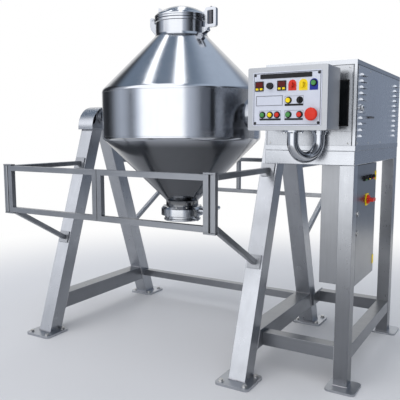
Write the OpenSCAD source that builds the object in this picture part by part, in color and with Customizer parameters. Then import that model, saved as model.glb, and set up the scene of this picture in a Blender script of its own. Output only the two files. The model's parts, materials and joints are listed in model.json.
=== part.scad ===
// Double cone mixer on two A-frames, with drive cabinet, control panel and guard gate.
// Modelled with the vessel's axis on X, the operator's side at -Y and the drive at +X.

/* [Vessel] */
// Height of the trunnion axis above the floor
axis_z = 1460; // [1400:10:1520]
// Outside radius of the cylindrical band
vessel_r = 525; // [500:5:540]
// Height of the band between the two cones
band_h = 310; // [280:5:340]
// Slope of both cones
cone_angle = 45; // [43:0.5:47]
// Thickness of the shell
shell_t = 5; // [4:0.5:8]
// Outside radius of the knuckle between band and cone
knuckle_r = 35; // [25:5:50]
// Outside radius of the charge neck
charge_r = 170; // [160:5:180]
// Straight height of the charge neck
charge_h = 80; // [75:1:95]
// Height of the flange on the charge neck
flange_h = 19; // [14:1:24]
// Reach of the flange past the neck
flange_w = 8; // [5:1:12]
// Outside radius of the outlet neck
outlet_r = 110; // [105:1:118]
// Straight height of the outlet neck
outlet_h = 34; // [28:1:45]

/* [Lid] */
// Height of the lid's rim
lid_rim_h = 27; // [22:1:34]
// Thickness of the lid's gasket
gasket_t = 2; // [1:0.5:4]
// Rise of the domed lid above its rim
lid_rise = 62; // [50:1:75]
// Thickness of the lid
lid_t = 5; // [4:0.5:8]
// Distance of the lid's hinge pin outside the flange
lid_hinge_out = 37; // [34:1:44]
// Radius of the lid's hinge pin
lid_pin_r = 6; // [5:0.5:8]

/* [Lid clamp] */
// Width of the clamp frame
clamp_w = 80; // [72:1:90]
// Thickness of the clamp frame
clamp_t = 26; // [22:1:32]
// Width of the bars of the clamp frame
clamp_bar = 18; // [15:1:20]
// Radius of the knurled barrel
barrel_r = 17; // [13:1:19]
// Gap between the flange and the clamp frame
clamp_gap = 6; // [4:1:10]
// Radius of the clamp's pivot pin
clamp_pin_r = 5; // [4:0.5:6]

/* [Discharge valve] */
// Radius of the valve's bore
valve_bore_r = 102; // [95:1:104]
// Outside radius of the valve body
valve_r = 143; // [138:1:155]
// Height of the valve body
valve_h = 63; // [56:1:74]
// Outside radius of the outlet ring
ring_r = 126; // [120:1:132]
// Bore radius of the outlet ring past the valve's
ring_ease = 2; // [1:0.5:4]
// Height of the outlet ring
ring_h = 36; // [30:1:45]
// Thickness of the valve disc
disc_t = 8; // [6:1:12]
// Radius of the valve's shaft
valve_shaft_r = 10; // [8:1:13]
// Length of the valve's lever
lever_l = 190; // [150:5:230]

/* [Trunnions and bearings] */
// Radius of the trunnion's pad on the band
pad_r = 100; // [90:5:115]
// Radius of the trunnion's hub
hub_r = 65; // [55:1:75]
// Radius of the trunnion shaft
shaft_r = 35; // [30:1:38]
// Height of the shaft above the bearing's foot
bearing_h = 80; // [76:1:90]
// Width of the bearing's foot along the shaft
bearing_w = 72; // [60:1:80]
// Length of the bearing's foot
bearing_l = 266; // [240:2:280]
// Distance that the drive shaft reaches into the cabinet
drive_reach = 235; // [220:5:270]

/* [A-frames] */
// Distance of each A-frame from the vessel's middle
frame_x = 725; // [700:5:760]
// Size of the frame's square tube
tube = 100; // [90:5:110]
// Wall of the square tubes
tube_t = 3; // [2:0.5:5]
// Half spread of the legs on the floor
leg_spread = 600; // [560:10:650]
// Underside of the low cross beams
beam_z = 145; // [120:5:180]
// Size of the rear tie bar
tie = 50; // [40:5:60]
// Side of the large foot plates
foot_w = 200; // [190:5:230]
// Thickness of the large foot plates
foot_t = 15; // [12:1:20]
// Distance of each plate's middle outside its leg's middle
foot_shift = 28; // [10:1:35]
// Spacing of the anchor bolts
bolt_pitch = 140; // [130:5:150]
// Radius of the anchor bolt holes
anchor_r = 9; // [8:0.5:11]
// Thickness of the bearing seats on the A-frames
seat_t = 12; // [10:1:16]

/* [Bearing hoods] */
// Room between the bearing's foot and the hood
hood_room = 14; // [8:1:24]
// Width of the hood past each side of the frame
hood_side = 16; // [10:1:24]
// Sheet of the hood
hood_t = 3; // [2:0.5:4]

/* [Drive stand] */
// Outer face of the stand's posts
stand_x = 1260; // [1240:5:1300]
// Front face of the cabinet
cab_front = 375; // [360:5:390]
// Rear face of the cabinet
cab_rear = 655; // [640:5:700]
// Size of the stand's square tube
post = 75; // [65:5:80]
// Underside of the cabinet's base
base_z = 1178; // [1160:2:1200]
// Height of the cabinet's base
base_h = 74; // [60:2:90]
// Underside of the stand's low rails
rail_z = 150; // [130:5:175]
// Side of the small foot plates
pad_w = 160; // [140:5:180]
// Thickness of the small foot plates
pad_t = 12; // [10:1:16]

/* [Drive cabinet] */
// Height of the cabinet
cab_h = 448; // [430:2:480]
// Sheet of the cabinet
cab_t = 3; // [2:0.5:4]
// Border left round the front cover
cover_gap = 12; // [8:1:20]
// Height of the lip at the foot of the cabinet
cab_lip = 26; // [20:1:32]
// Number of louvres in a row
louvres = 11; // [8:1:12]
// Spacing of the louvres
louvre_pitch = 30.6; // [28:0.2:33]
// Length of a louvre
louvre_l = 100; // [80:5:120]

/* [Geared motor] */
// Width of the gearbox along the shaft
gear_w = 140; // [130:2:145]
// Distance of the motor's fan cover from the shaft
motor_end = 380; // [360:5:420]

/* [Electrical box] */
// Height of the electrical box
ebox_h = 638; // [600:2:660]
// Length of the electrical box
ebox_l = 398; // [380:2:420]
// Depth of the electrical box with its door
ebox_d = 190; // [170:5:220]
// Depth of the door
door_t = 18; // [15:1:25]

/* [Control panel] */
// Width of the panel box
panel_w = 400; // [390:5:420]
// Height of the panel box
panel_h = 300; // [290:5:320]
// Depth of the panel box
panel_d = 185; // [170:5:195]
// Middle of the panel box along X
panel_x = 1000; // [990:2:1010]
// Underside of the panel box
panel_z = 1354; // [1340:2:1370]
// Gap between the cabinet and the back of the panel box
panel_gap = 83; // [80:1:95]
// Width of the front plate
plate_w = 347; // [340:1:360]
// Height of the front plate
plate_h = 256; // [250:1:268]
// Radius of the swivel pipe
pipe_r = 28; // [24:1:30]
// Distance along X from the front limb to the swivel limb
pipe_dx = 88; // [80:1:96]

/* [Guard] */
// Distance of the guard's outer faces from the vessel's axis
guard_y = 864; // [850:2:900]
// Underside of the guard
guard_z = 862; // [840:2:890]
// Height of the guard
guard_h = 284; // [260:2:310]
// Size of the guard's square tube
bar = 30; // [25:1:35]
// Gap between a post and its gate leaf
hinge_gap = 8; // [7:0.5:12]
// Gap between the two gate leaves
leaf_gap = 4; // [3:0.5:8]
// Height of the middle of the lower brackets
strut_z = 628; // [600:2:660]
// Side of the bracket plates
bracket_w = 78; // [70:1:90]
// Thickness of the bracket plates
bracket_t = 8; // [6:1:12]

/* [Clearances] */
// Radial running clearance of pins and shafts
run = 0.05; // [0.02:0.01:0.09]
// Play round the buttons and knobs
play = 0.3; // [0.2:0.05:0.5]
// Play at the ends of turning pieces
end_play = 1; // [0.5:0.25:1.5]

/* [Hidden] */
$fn = 72;

steel = [0.78, 0.79, 0.82];
dark = [0.12, 0.12, 0.13];
red = [0.85, 0.12, 0.08];
yellow = [0.95, 0.80, 0.05];
green = [0.20, 0.55, 0.25];

// Vessel levels
band_top = axis_z + band_h / 2;
band_low = axis_z - band_h / 2;
ct = tan(cone_angle);
neck_z = band_top + (vessel_r - charge_r) * ct;
flange_z = neck_z + charge_h;
flange_top = flange_z + flange_h;
lid_z = flange_top + gasket_t;
lid_top = lid_z + lid_rim_h;
outlet_z = band_low - (vessel_r - outlet_r) * ct;
valve_top = outlet_z - outlet_h;
valve_z = valve_top - valve_h / 2;
ring_top = valve_top - valve_h;
ring_z = ring_top - ring_h;
lid_pin_x = -(charge_r + flange_w + lid_hinge_out);
lid_pin_z = lid_z + lid_rim_h * 0.7;

// Frame levels
hood_r = bearing_l / 2 + hood_room + hood_t;
seat_z = axis_z - bearing_h - seat_t;
seat_half = hood_r - hood_t;
leg_top = seat_half - 15;
lean = atan((leg_spread - leg_top) / seat_z);
tl = tan(lean);
leg_w = tube / cos(lean);
frame_in = frame_x - tube / 2;
frame_out = frame_x + tube / 2;
cab_z = base_z + base_h;
cab_top = cab_z + cab_h;
side_x = stand_x + 2;

// The origin stands under the middle of the whole machine
foot_x = frame_x + foot_w / 2;
pad_shift = 12;
pad_x = stand_x - post / 2 + pad_shift + pad_w / 2;
shift_x = (pad_x - foot_x) / 2;

function leg_y(z) = leg_spread - z * tl;

module place() { translate([-shift_x, 0, 0]) children(); }
module corners() { for (sx = [0, 1], sy = [0, 1]) mirror([sx, 0, 0]) mirror([0, sy, 0]) children(); }
// Extrudes a Y-Z outline along X, centred on x
module along_x(x, w) {
    translate([x - w / 2, 0, 0]) rotate([90, 0, 90]) linear_extrude(w) children();
}
// Extrudes an X-Z outline along Y, centred on y
module along_y(y, w) {
    translate([0, y + w / 2, 0]) rotate([90, 0, 0]) linear_extrude(w) children();
}
module box(x0, x1, y0, y1, z0, z1) { translate([x0, y0, z0]) cube([x1 - x0, y1 - y0, z1 - z0]); }
// Round bar or bore along X, Y or Z between two ends
module rod_x(x0, x1, y, z, r) { translate([x0, y, z]) rotate([0, 90, 0]) cylinder(h = x1 - x0, r = r); }
module rod_y(x, y0, y1, z, r) { translate([x, y1, z]) rotate([90, 0, 0]) cylinder(h = y1 - y0, r = r); }
module rod_z(x, y, z0, z1, r) { translate([x, y, z0]) cylinder(h = z1 - z0, r = r); }
// Plate with rounded corners
module round_rect(w, h, r) {
    square([w - 2 * r, h], center = true);
    square([w, h - 2 * r], center = true);
    for (sx = [-1, 1], sy = [-1, 1]) translate([sx * (w / 2 - r), sy * (h / 2 - r)]) circle(r);
}
module hex_head(r, h) { cylinder(h = h, r = r, $fn = 6); }

// Shell: a turned profile with rounded knuckles
function arc(cx, cz, r, a0, a1, n) =
    [for (i = [0:n]) let (a = a0 + (a1 - a0) * i / n) [cx + r * cos(a), cz + r * sin(a)]];
kt = knuckle_r * tan((90 - cone_angle) / 2);
// Where the cone's inner face meets the inner wall of a neck of radius nr
function inner_rise(nr) = (vessel_r - nr + shell_t - shell_t / sin(cone_angle)) * ct;
function knuckle(s, r) =
    arc(vessel_r - knuckle_r, s * (band_h / 2 - kt), r, 0, s * (90 - cone_angle), 6);
function rev(v) = [for (i = [len(v) - 1:-1:0]) v[i]];
module shell_profile() {
    up = band_h / 2 + (vessel_r - charge_r) * ct;
    low = -band_h / 2 - (vessel_r - outlet_r) * ct;
    polygon(concat(
        [[outlet_r, low - outlet_h], [outlet_r, low]],
        rev(knuckle(-1, knuckle_r)),
        knuckle(1, knuckle_r),
        [[charge_r, up], [charge_r - shell_t, up],
         [charge_r - shell_t, band_h / 2 + inner_rise(charge_r)]],
        rev(knuckle(1, knuckle_r - shell_t)),
        knuckle(-1, knuckle_r - shell_t),
        [[outlet_r - shell_t, -band_h / 2 - inner_rise(outlet_r)], [outlet_r - shell_t, low - outlet_h]]));
}
module shell() { place() color(steel) translate([0, 0, axis_z]) rotate_extrude($fn = 96) shell_profile(); }

// Trunnions: pad cut to the band, hub and shaft
module trunnion(s, reach) {
    mirror([s < 0 ? 1 : 0, 0, 0]) difference() {
        union() {
            rod_x(vessel_r - 60, vessel_r + 14, 0, axis_z, pad_r);
            rod_x(vessel_r, vessel_r + 62, 0, axis_z, hub_r);
            rod_x(vessel_r, reach, 0, axis_z, shaft_r);
        }
        rod_z(0, 0, axis_z - pad_r - 5, axis_z + pad_r + 5, vessel_r);
        // Keyway at the shaft's end
        if (s > 0) box(reach - 90, reach + 1, -10, 10, axis_z + shaft_r - 7, axis_z + shaft_r + 5);
    }
}
module trunnions() { place() color(steel) {
    trunnion(-1, frame_x + bearing_w / 2 + 8);
    trunnion(1, frame_out + drive_reach);
} }

// Charge neck with its flange, hinge cheeks and clamp ears, and a stop lug on the cone
flange_edge = 3;
cheek_y = 26;
cheek_t = 8;
ear_y = clamp_t / 2 + 1;
ear_t = 8;
clamp_x0 = charge_r + flange_w + clamp_gap;
clamp_x1 = clamp_x0 + clamp_w;
clamp_z0 = flange_z - 40;
clamp_z1 = lid_top + 34;
clamp_pin_x = clamp_x0 + 9;
clamp_pin_z = clamp_z0 - 12;
barrel_x = (clamp_x0 + clamp_x1) / 2;
module cheek_outline() {
    polygon([[-charge_r + 2, neck_z + 8], [-charge_r + 2, flange_z - 6],
        [-charge_r - flange_w - 4, flange_z - 2], [-charge_r - flange_w - 9, flange_top - 4],
        [lid_pin_x + 10, lid_pin_z], [lid_pin_x - 14, lid_pin_z], [lid_pin_x - 15, flange_z + 6],
        [lid_pin_x - 8, flange_z - 22], [-charge_r - 22, neck_z + 24]]);
    translate([lid_pin_x, lid_pin_z]) circle(15);
}
module ear_outline() {
    polygon([[charge_r - 4, clamp_pin_z - 24], [charge_r - 4, clamp_pin_z + 16],
        [clamp_pin_x, clamp_pin_z + 12], [clamp_pin_x + 11, clamp_pin_z + 4],
        [clamp_pin_x + 11, clamp_pin_z - 6], [clamp_pin_x + 2, clamp_pin_z - 12]]);
}
module neck_profile() {
    r1 = charge_r + flange_w;
    polygon([[charge_r - shell_t, neck_z], [charge_r, neck_z], [charge_r, flange_z],
        [r1, flange_z + flange_edge], [r1, flange_top - flange_edge], [r1 - flange_edge, flange_top],
        [charge_r - shell_t, flange_top]]);
}
module charge_neck() { place() color(steel) {
    rotate_extrude($fn = 96) neck_profile();
    difference() {
        union() {
            for (s = [-1, 1]) {
                along_y(s * (cheek_y + cheek_t / 2), cheek_t) cheek_outline();
                along_y(s * (ear_y + ear_t / 2), ear_t) ear_outline();
            }
        }
        rod_z(0, 0, neck_z, flange_z, charge_r - shell_t / 2);
    }
    // Hinge pin of the lid and pivot pin of the clamp
    rod_y(lid_pin_x, -cheek_y - cheek_t - 4, cheek_y + cheek_t + 4, lid_pin_z, lid_pin_r);
    rod_y(clamp_pin_x, -ear_y - ear_t - 3, ear_y + ear_t + 3, clamp_pin_z, clamp_pin_r);
    // Stop lug that lies on the cone
    rotate([0, 0, -17]) translate([charge_r + 6, 0, neck_z - 6 * ct]) rotate([0, cone_angle, 0])
        translate([0, -14, 0]) cube([46, 28, 9]);
} }

// Charge lid: gasket, turned rim and dished top, with hinge barrel and gusset
lid_r = charge_r + flange_w - 2;
lid_crown = (lid_r * lid_r + lid_rise * lid_rise) / (2 * lid_rise);
lid_half = asin(lid_r / lid_crown);
// Height half way through the lid's sheet at radius r
function lid_mid(r) = lid_top + lid_rise - lid_crown + sqrt(pow(lid_crown - lid_t / 2, 2) - r * r);
module lid_profile() {
    zc = lid_top + lid_rise - lid_crown;
    a0 = 90 - lid_half + 2.5;
    outer = arc(0, zc, lid_crown, a0, 90, 10);
    inner = arc(0, zc, lid_crown - lid_t, a0, 90, 10);
    mid = lid_z + lid_rim_h / 2;
    polygon(concat([[charge_r - 18, flange_top], [charge_r, flange_top], [charge_r, lid_z],
        [lid_r - 2, lid_z], [lid_r, lid_z + 2], [lid_r, mid - 2], [lid_r - 2, mid], [lid_r, mid + 2],
        [lid_r, lid_top - 4], [lid_r - 4, lid_top]], outer, rev(inner),
        [[charge_r - 18, lid_top - 6]]));
}
lug_w = 24;
lug_in = 20;
gusset_h = lid_rise + 10;
module lid() { place() color(steel) difference() {
    union() {
        rotate_extrude($fn = 96) lid_profile();
        // Hinge barrel
        rod_y(lid_pin_x, -cheek_y + end_play, cheek_y - end_play, lid_pin_z, 14);
        // Arm and pointed gusset
        along_y(0, 14) polygon(concat([[lid_pin_x, lid_pin_z - 9], [-lid_r + 6, lid_pin_z - 12]],
            [for (r = [lid_r - 10:-16:charge_r - 66]) [-r, lid_mid(r)]],
            [[-lid_r + 2, lid_top + gusset_h], [-lid_r - 3, lid_top + gusset_h - 4],
             [-lid_r - 6, lid_top + 10],
             [lid_pin_x - 2, lid_pin_z + 13]]));
        // Lug that the clamp stands against
        translate([lid_r - lug_in, -lug_w / 2, lid_top - 8]) cube([lug_in, lug_w, 20]);
    }
    rod_y(lid_pin_x, -cheek_y - 1, cheek_y + 1, lid_pin_z, lid_pin_r + run);
} }

// Screw clamp: frame that swings on the neck, with a knurled barrel on its spindle
spindle_r = 6;
bar_gap = 2;
nose_gap = 1.5;
module clamp_frame() { place() color(steel) difference() {
    union() {
        along_y(0, clamp_t) difference() {
            union() {
                translate([barrel_x, (clamp_z0 + clamp_z1) / 2]) round_rect(clamp_w, clamp_z1 - clamp_z0, 16);
                // Nose against the lid's lug
                polygon([[clamp_x0 + 4, lid_top + 20], [lid_r + nose_gap, lid_top + 12],
                    [lid_r + nose_gap, lid_top - 6], [clamp_x0 + 4, lid_top - 14]]);
                // Foot to the pivot
                polygon([[clamp_x0, clamp_z0 + 24], [clamp_pin_x - 9, clamp_pin_z],
                    [clamp_pin_x, clamp_pin_z - 9], [clamp_pin_x + 9, clamp_pin_z],
                    [clamp_x0 + 26, clamp_z0 + 6]]);
                translate([clamp_pin_x, clamp_pin_z]) circle(10);
            }
            translate([barrel_x, (clamp_z0 + clamp_z1) / 2])
                round_rect(clamp_w - 2 * clamp_bar, clamp_z1 - clamp_z0 - 2 * clamp_bar, 6);
        }
    }
    rod_y(clamp_pin_x, -clamp_t, clamp_t, clamp_pin_z, clamp_pin_r + run);
    rod_z(barrel_x, 0, clamp_z0 - 1, clamp_z1 + 1, spindle_r + run);
} }
module clamp_barrel() { place() color(dark) difference() {
    union() {
        rod_z(barrel_x, 0, clamp_z0 + clamp_bar + bar_gap, clamp_z1 - clamp_bar - bar_gap, barrel_r);
        rod_z(barrel_x, 0, clamp_z0 + 2, clamp_z1 + 6, spindle_r);
    }
    for (i = [0:7]) translate([barrel_x, 0, 0]) rotate([0, 0, i * 45 + 22.5])
        rod_z(barrel_r + 1, 0, clamp_z0 + clamp_bar - 1, clamp_z1 - clamp_bar + 1, 2.6);
} }

// Butterfly valve under the outlet neck
boss_x = valve_r + 16;
ring_bore_r = valve_bore_r + ring_ease;
seal_w = 8;
seal_h = 6;
module valve_body() { place() color(steel) difference() {
    union() {
        // The recess at the foot holds the seal of the outlet ring
        rotate_extrude() polygon([[valve_bore_r + seal_w, ring_top], [valve_r, ring_top],
            [valve_r, valve_top - 18], [valve_r - 12, valve_top - 4], [outlet_r + 6, valve_top],
            [valve_bore_r, valve_top], [valve_bore_r, ring_top + seal_h],
            [valve_bore_r + seal_w, ring_top + seal_h]]);
        rod_x(valve_r - 12, boss_x, 0, valve_z, 20);
    }
    rod_x(0, boss_x + 1, 0, valve_z, valve_shaft_r + run);
    rod_x(-valve_bore_r - 20, 0, 0, valve_z, valve_shaft_r + run);
    for (i = [0:11]) rotate([0, 0, i * 30 + 15]) rod_z(valve_r - 15, 0, valve_top - 22, valve_top + 1, 4);
} }
module outlet_ring() { place() color(steel) {
    rotate_extrude() polygon([[ring_bore_r, ring_z], [ring_r - 4, ring_z], [ring_r, ring_z + 4],
        [ring_r, ring_z + 12], [ring_r - 7, ring_z + 16], [ring_r - 7, ring_top - 8],
        [ring_r - 3, ring_top], [ring_bore_r, ring_top]]);
    // Clamp lug and its nut
    rotate([0, 0, -13]) rod_x(ring_r - 12, ring_r + 20, 0, ring_top - ring_h / 2, 15);
} }
module valve_disc() { place() color(steel) difference() {
    union() {
        rod_z(0, 0, valve_z - disc_t / 2, valve_z + disc_t / 2, valve_bore_r - 0.4);
        rod_x(-valve_bore_r - 18, boss_x + 26, 0, valve_z, valve_shaft_r);
        // Lever with a round grip
        rod_x(boss_x + end_play, boss_x + 22, 0, valve_z, 19);
        box(boss_x + 6, boss_x + 14, 0, lever_l - 60, valve_z - 13, valve_z + 13);
        rod_y(boss_x + 10, lever_l - 75, lever_l + 15, valve_z, 14);
    }
    rod_x(boss_x + 24, boss_x + 30, 0, valve_z, 4);
} }

// A-frames: hollow square tube legs, low cross beams and the rear tie bar
module leg_outline(t) {
    c = t / cos(lean);
    e = t > 0 ? 5 : 0;
    z0 = foot_t - e;
    z1 = seat_z + e;
    polygon([[-leg_y(z0) + c, z0], [-leg_y(z0) + leg_w - c, z0],
        [-leg_y(z1) + leg_w - c, z1], [-leg_y(z1) + c, z1]]);
}
module legs() { place() color(steel) corners() difference() {
    along_x(frame_x, tube) leg_outline(0);
    along_x(frame_x, tube - 2 * tube_t) leg_outline(tube_t);
} }
module beam_outline(t) {
    z0 = beam_z + t;
    z1 = beam_z + tube - t;
    e = t > 0 ? 60 : 0;
    y0 = leg_y(z0) - leg_w + e;
    y1 = leg_y(z1) - leg_w + e;
    polygon([[-y0, z0], [y0, z0], [y1, z1], [-y1, z1]]);
}
tie_z = beam_z + tube / 2;
tie_y = leg_y(tie_z) - leg_w / 2;
module low_beams() { place() color(steel) {
    for (s = [-1, 1]) difference() {
        along_x(s * frame_x, tube) beam_outline(0);
        along_x(s * frame_x, tube - 2 * tube_t) beam_outline(tube_t);
    }
    difference() {
        box(-frame_in, frame_in, tie_y - tie / 2, tie_y + tie / 2, tie_z - tie / 2, tie_z + tie / 2);
        box(-frame_in - 1, frame_in + 1, tie_y - tie / 2 + tube_t, tie_y + tie / 2 - tube_t,
            tie_z - tie / 2 + tube_t, tie_z + tie / 2 - tube_t);
    }
} }
foot_y = leg_y(foot_t) - leg_w / 2 + foot_shift;
front_post_y = -cab_front + post / 2;
rear_post_y = cab_rear - post / 2;
post_x = stand_x - post / 2;
module foot_plates() { place() color(steel) {
    corners() difference() {
        translate([frame_x, foot_y, 0]) linear_extrude(foot_t) round_rect(foot_w, foot_w, 24);
        for (a = [-1, 1], b = [-1, 1])
            rod_z(frame_x + a * bolt_pitch / 2, foot_y + b * bolt_pitch / 2, -1, foot_t + 1, anchor_r);
    }
    for (y = [front_post_y - 20, rear_post_y + 20])
        translate([post_x + pad_shift, y, 0]) linear_extrude(pad_t) round_rect(pad_w, pad_w, 24);
} }
// Anchor bolts: washer, hexagon head and a shank in the plate
module anchor_bolts() { place() color(steel) corners() for (a = [-1, 1], b = [-1, 1])
    translate([frame_x + a * bolt_pitch / 2, foot_y + b * bolt_pitch / 2, 0]) {
        cylinder(h = foot_t + 1, r = anchor_r - 1);
        translate([0, 0, foot_t]) cylinder(h = 3, r = anchor_r + 7);
        translate([0, 0, foot_t + 3]) hex_head(anchor_r + 4, 9);
    }
}
module seat_plates() { place() color(steel) for (s = [-1, 1])
    box(s * frame_x - tube / 2, s * frame_x + tube / 2, -seat_half, seat_half, seat_z, seat_z + seat_t);
}

// Pillow block bearings with a true bore
block_r = 60;
block_w = bearing_w * 0.72;
foot_z = axis_z - bearing_h;
module bearing_block(x) {
    difference() {
        along_x(x, block_w) union() {
            polygon([[-bearing_l / 2, foot_z], [bearing_l / 2, foot_z], [bearing_l / 2, foot_z + 24],
                [78, foot_z + 30], [block_r - 6, axis_z], [6 - block_r, axis_z], [-78, foot_z + 30],
                [-bearing_l / 2, foot_z + 24]]);
            translate([0, axis_z]) circle(block_r);
        }
        rod_x(x - bearing_w, x + bearing_w, 0, axis_z, shaft_r + 16);
        for (s = [-1, 1]) rod_z(x, s * (bearing_l / 2 - 24), foot_z - 1, foot_z + 30, 8);
    }
    // Insert ring
    difference() {
        rod_x(x - bearing_w / 2, x + bearing_w / 2, 0, axis_z, shaft_r + 16);
        rod_x(x - bearing_w, x + bearing_w, 0, axis_z, shaft_r + run);
    }
    // Foot bolts
    for (s = [-1, 1]) {
        rod_z(x, s * (bearing_l / 2 - 24), foot_z, foot_z + 30, 8);
        translate([x, s * (bearing_l / 2 - 24), foot_z + 24]) hex_head(14, 10);
    }
}
module bearings() { place() color(steel) { bearing_block(-frame_x); bearing_block(frame_x); } }

// Half-round sheet hoods: open to the vessel, the left one closed at its outer end
hood_z = seat_z + seat_t;
module half_round(r, z0) {
    translate([0, hood_z]) intersection() {
        circle(r);
        translate([-r, 0]) square([2 * r, r]);
    }
    translate([-r, z0]) square([2 * r, hood_z - z0]);
}
module hood(x0, x1) {
    along_x((x0 + x1) / 2, x1 - x0) difference() {
        half_round(hood_r, seat_z);
        half_round(hood_r - hood_t, seat_z - 5);
    }
}
module hoods() { place() color(steel) {
    hood(frame_in - hood_side, frame_out);
    hood(-frame_out - hood_side, -frame_in + hood_side);
    // Outer end plate of the left hood
    along_x(-frame_out - hood_side + hood_t / 2, hood_t) half_round(hood_r, seat_z);
} }

// Stand under the drive cabinet
module tube_z(x, y, z0, z1, w) {
    difference() {
        box(x - w / 2, x + w / 2, y - w / 2, y + w / 2, z0, z1);
        box(x - w / 2 + tube_t, x + w / 2 - tube_t, y - w / 2 + tube_t, y + w / 2 - tube_t, z0 - 1, z1 + 1);
    }
}
module stand_posts() { place() color(steel) {
    tube_z(post_x, front_post_y, pad_t, base_z, post);
    tube_z(post_x, rear_post_y, pad_t, base_z, post);
} }
end_t = 10;
set_back = 2;
// Square tube along X or Y, open at both ends
module tube_x(x0, x1, y0, y1, z0, z1) {
    difference() {
        box(x0, x1, y0, y1, z0, z1);
        box(x0 - 1, x1 + 1, y0 + tube_t, y1 - tube_t, z0 + tube_t, z1 - tube_t);
    }
}
module tube_y(x0, x1, y0, y1, z0, z1) {
    difference() {
        box(x0, x1, y0, y1, z0, z1);
        box(x0 + tube_t, x1 - tube_t, y0 - 1, y1 + 1, z0 + tube_t, z1 - tube_t);
    }
}
module stand_rails() { place() color(steel) {
    z1 = rail_z + post;
    // Front rail from the drive-side cross beam to the front post
    tube_x(frame_out, stand_x - post, set_back - cab_front, post - cab_front - set_back, rail_z, z1);
    // Rear rail with an end plate on the rear leg's side
    tube_x(frame_out + end_t, stand_x - post, cab_rear - post + set_back, cab_rear - set_back, rail_z, z1);
    box(frame_out, frame_out + end_t, leg_y(rail_z) - leg_w + 25, cab_rear, rail_z - 4, z1 + 4);
    // Side rail between the posts
    tube_y(stand_x - post + set_back, stand_x - set_back, post - cab_front, cab_rear - post, rail_z, z1);
} }
module base_tray() { place() color(steel) difference() {
    box(frame_out, stand_x, -cab_front, cab_rear, base_z, cab_z);
    box(frame_out + cab_t, stand_x - cab_t, -cab_front + cab_t, cab_rear - cab_t, base_z + 6, cab_z + 1);
} }

// Drive cabinet: sheet box with a service opening behind the front cover
cov_x0 = frame_out + cover_gap;
cov_x1 = stand_x - cover_gap - 6;
cov_z0 = cab_z + cab_lip;
cov_z1 = cab_top - cab_lip;
louvre_y = [-cab_front + 120, cab_rear - 115];
louvre_z0 = cab_z + 69;
module cabinet() { place() color(steel) difference() {
    union() {
        box(frame_out, stand_x, -cab_front, cab_rear, cab_z + cab_lip, cab_top);
        box(frame_out, stand_x + 1.5, -cab_front - 1.5, cab_rear + 1.5, cab_z, cab_z + cab_lip);
    }
    box(frame_out + cab_t, stand_x - cab_t, -cab_front + cab_t, cab_rear - cab_t,
        cab_z + cab_t, cab_top - cab_t);
    // Service opening
    box(cov_x0 + 25, cov_x1 - 25, -cab_front - 5, -cab_front + cab_t + 1, cov_z0 + 25, cov_z1 - 25);
    // Shaft hole
    rod_x(frame_out - 1, frame_out + cab_t + 1, 0, axis_z, shaft_r + 12);
    // Openings behind the louvres
    for (y = louvre_y) box(stand_x - cab_t - 1, stand_x + 1, y - louvre_l / 2 + 4, y + louvre_l / 2 - 4,
        louvre_z0 - 4, louvre_z0 + (louvres - 1) * louvre_pitch + 14);
} }
// Front cover with the framed window
win_x1 = cov_x1 - 3;
win_x0 = win_x1 - 108;
win_z0 = cov_z0 + 72;
win_z1 = win_z0 + 288;
module front_cover() { place() color(steel) difference() {
    union() {
        box(cov_x0, cov_x1, -cab_front - 3, -cab_front, cov_z0, cov_z1);
        box(win_x0, win_x1, -cab_front - 9, -cab_front - 3, win_z0, win_z1);
    }
    box(win_x0 + 14, win_x1 - 14, -cab_front - 10, -cab_front - 4, win_z0 + 24, win_z1 - 36);
} }
// Side panel with two rows of pressed louvres
module quarter(r) {
    intersection() {
        circle(r);
        square([r, r]);
    }
}
// Hooded slot, open below, with closed ends
module louvre() {
    along_y(0, louvre_l) difference() {
        quarter(12);
        translate([-1, -1]) quarter(11);
    }
    for (s = [-1, 1]) along_y(s * (louvre_l / 2 - 1), 2) quarter(12);
}
module louvre_panel() { place() color(steel) {
    difference() {
        box(stand_x, side_x, -cab_front + 14, cab_rear - 14, cov_z0, cov_z1);
        for (y = louvre_y, i = [0:louvres - 1])
            box(stand_x - 1, side_x + 1, y - louvre_l / 2 + 3, y + louvre_l / 2 - 3,
                louvre_z0 + i * louvre_pitch, louvre_z0 + i * louvre_pitch + 9);
    }
    for (y = louvre_y, i = [0:louvres - 1]) translate([side_x, y, louvre_z0 + i * louvre_pitch]) louvre();
} }

// Geared motor on the drive shaft, on its pedestal
gear_x0 = frame_out + 60;
gear_x1 = gear_x0 + gear_w;
gear_half = gear_w * 0.75;
gear_hub_r = gear_w / 2;
motor_z = axis_z - 40;
motor_r = 78;
motor_x = (gear_x0 + gear_x1) / 2;
module gearmotor() { place() color([0.25, 0.35, 0.5]) difference() {
    union() {
        box(gear_x0, gear_x1, -gear_half, gear_half, axis_z - gear_half, axis_z + gear_half);
        rod_x(gear_x0 - 12, gear_x1 + 12, 0, axis_z, gear_hub_r);
        box(gear_x0 + 10, gear_x1 - 10, -120, 120, cab_z + cab_t, cab_z + cab_t + 14);
        box(gear_x0 + 25, gear_x1 - 25, -90, 90, cab_z + cab_t + 10, axis_z - gear_half + 5);
        // Motor with its flange, ribs, fan cover and terminal box
        rod_y(motor_x, gear_half - 5, gear_half + 25, motor_z, motor_r + 22);
        rod_y(motor_x, gear_half + 20, motor_end, motor_z, motor_r);
        for (i = [0:9]) rod_y(motor_x, gear_half + 45 + i * 20, gear_half + 51 + i * 20, motor_z, motor_r + 8);
        rod_y(motor_x, motor_end - 5, motor_end + 60, motor_z, motor_r + 6);
        box(motor_x - 45, motor_x + 45, gear_half + 75, gear_half + 185, motor_z + 70, motor_z + 132);
    }
    rod_x(gear_x0 - 20, gear_x1 + 20, 0, axis_z, shaft_r + run);
} }

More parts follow.
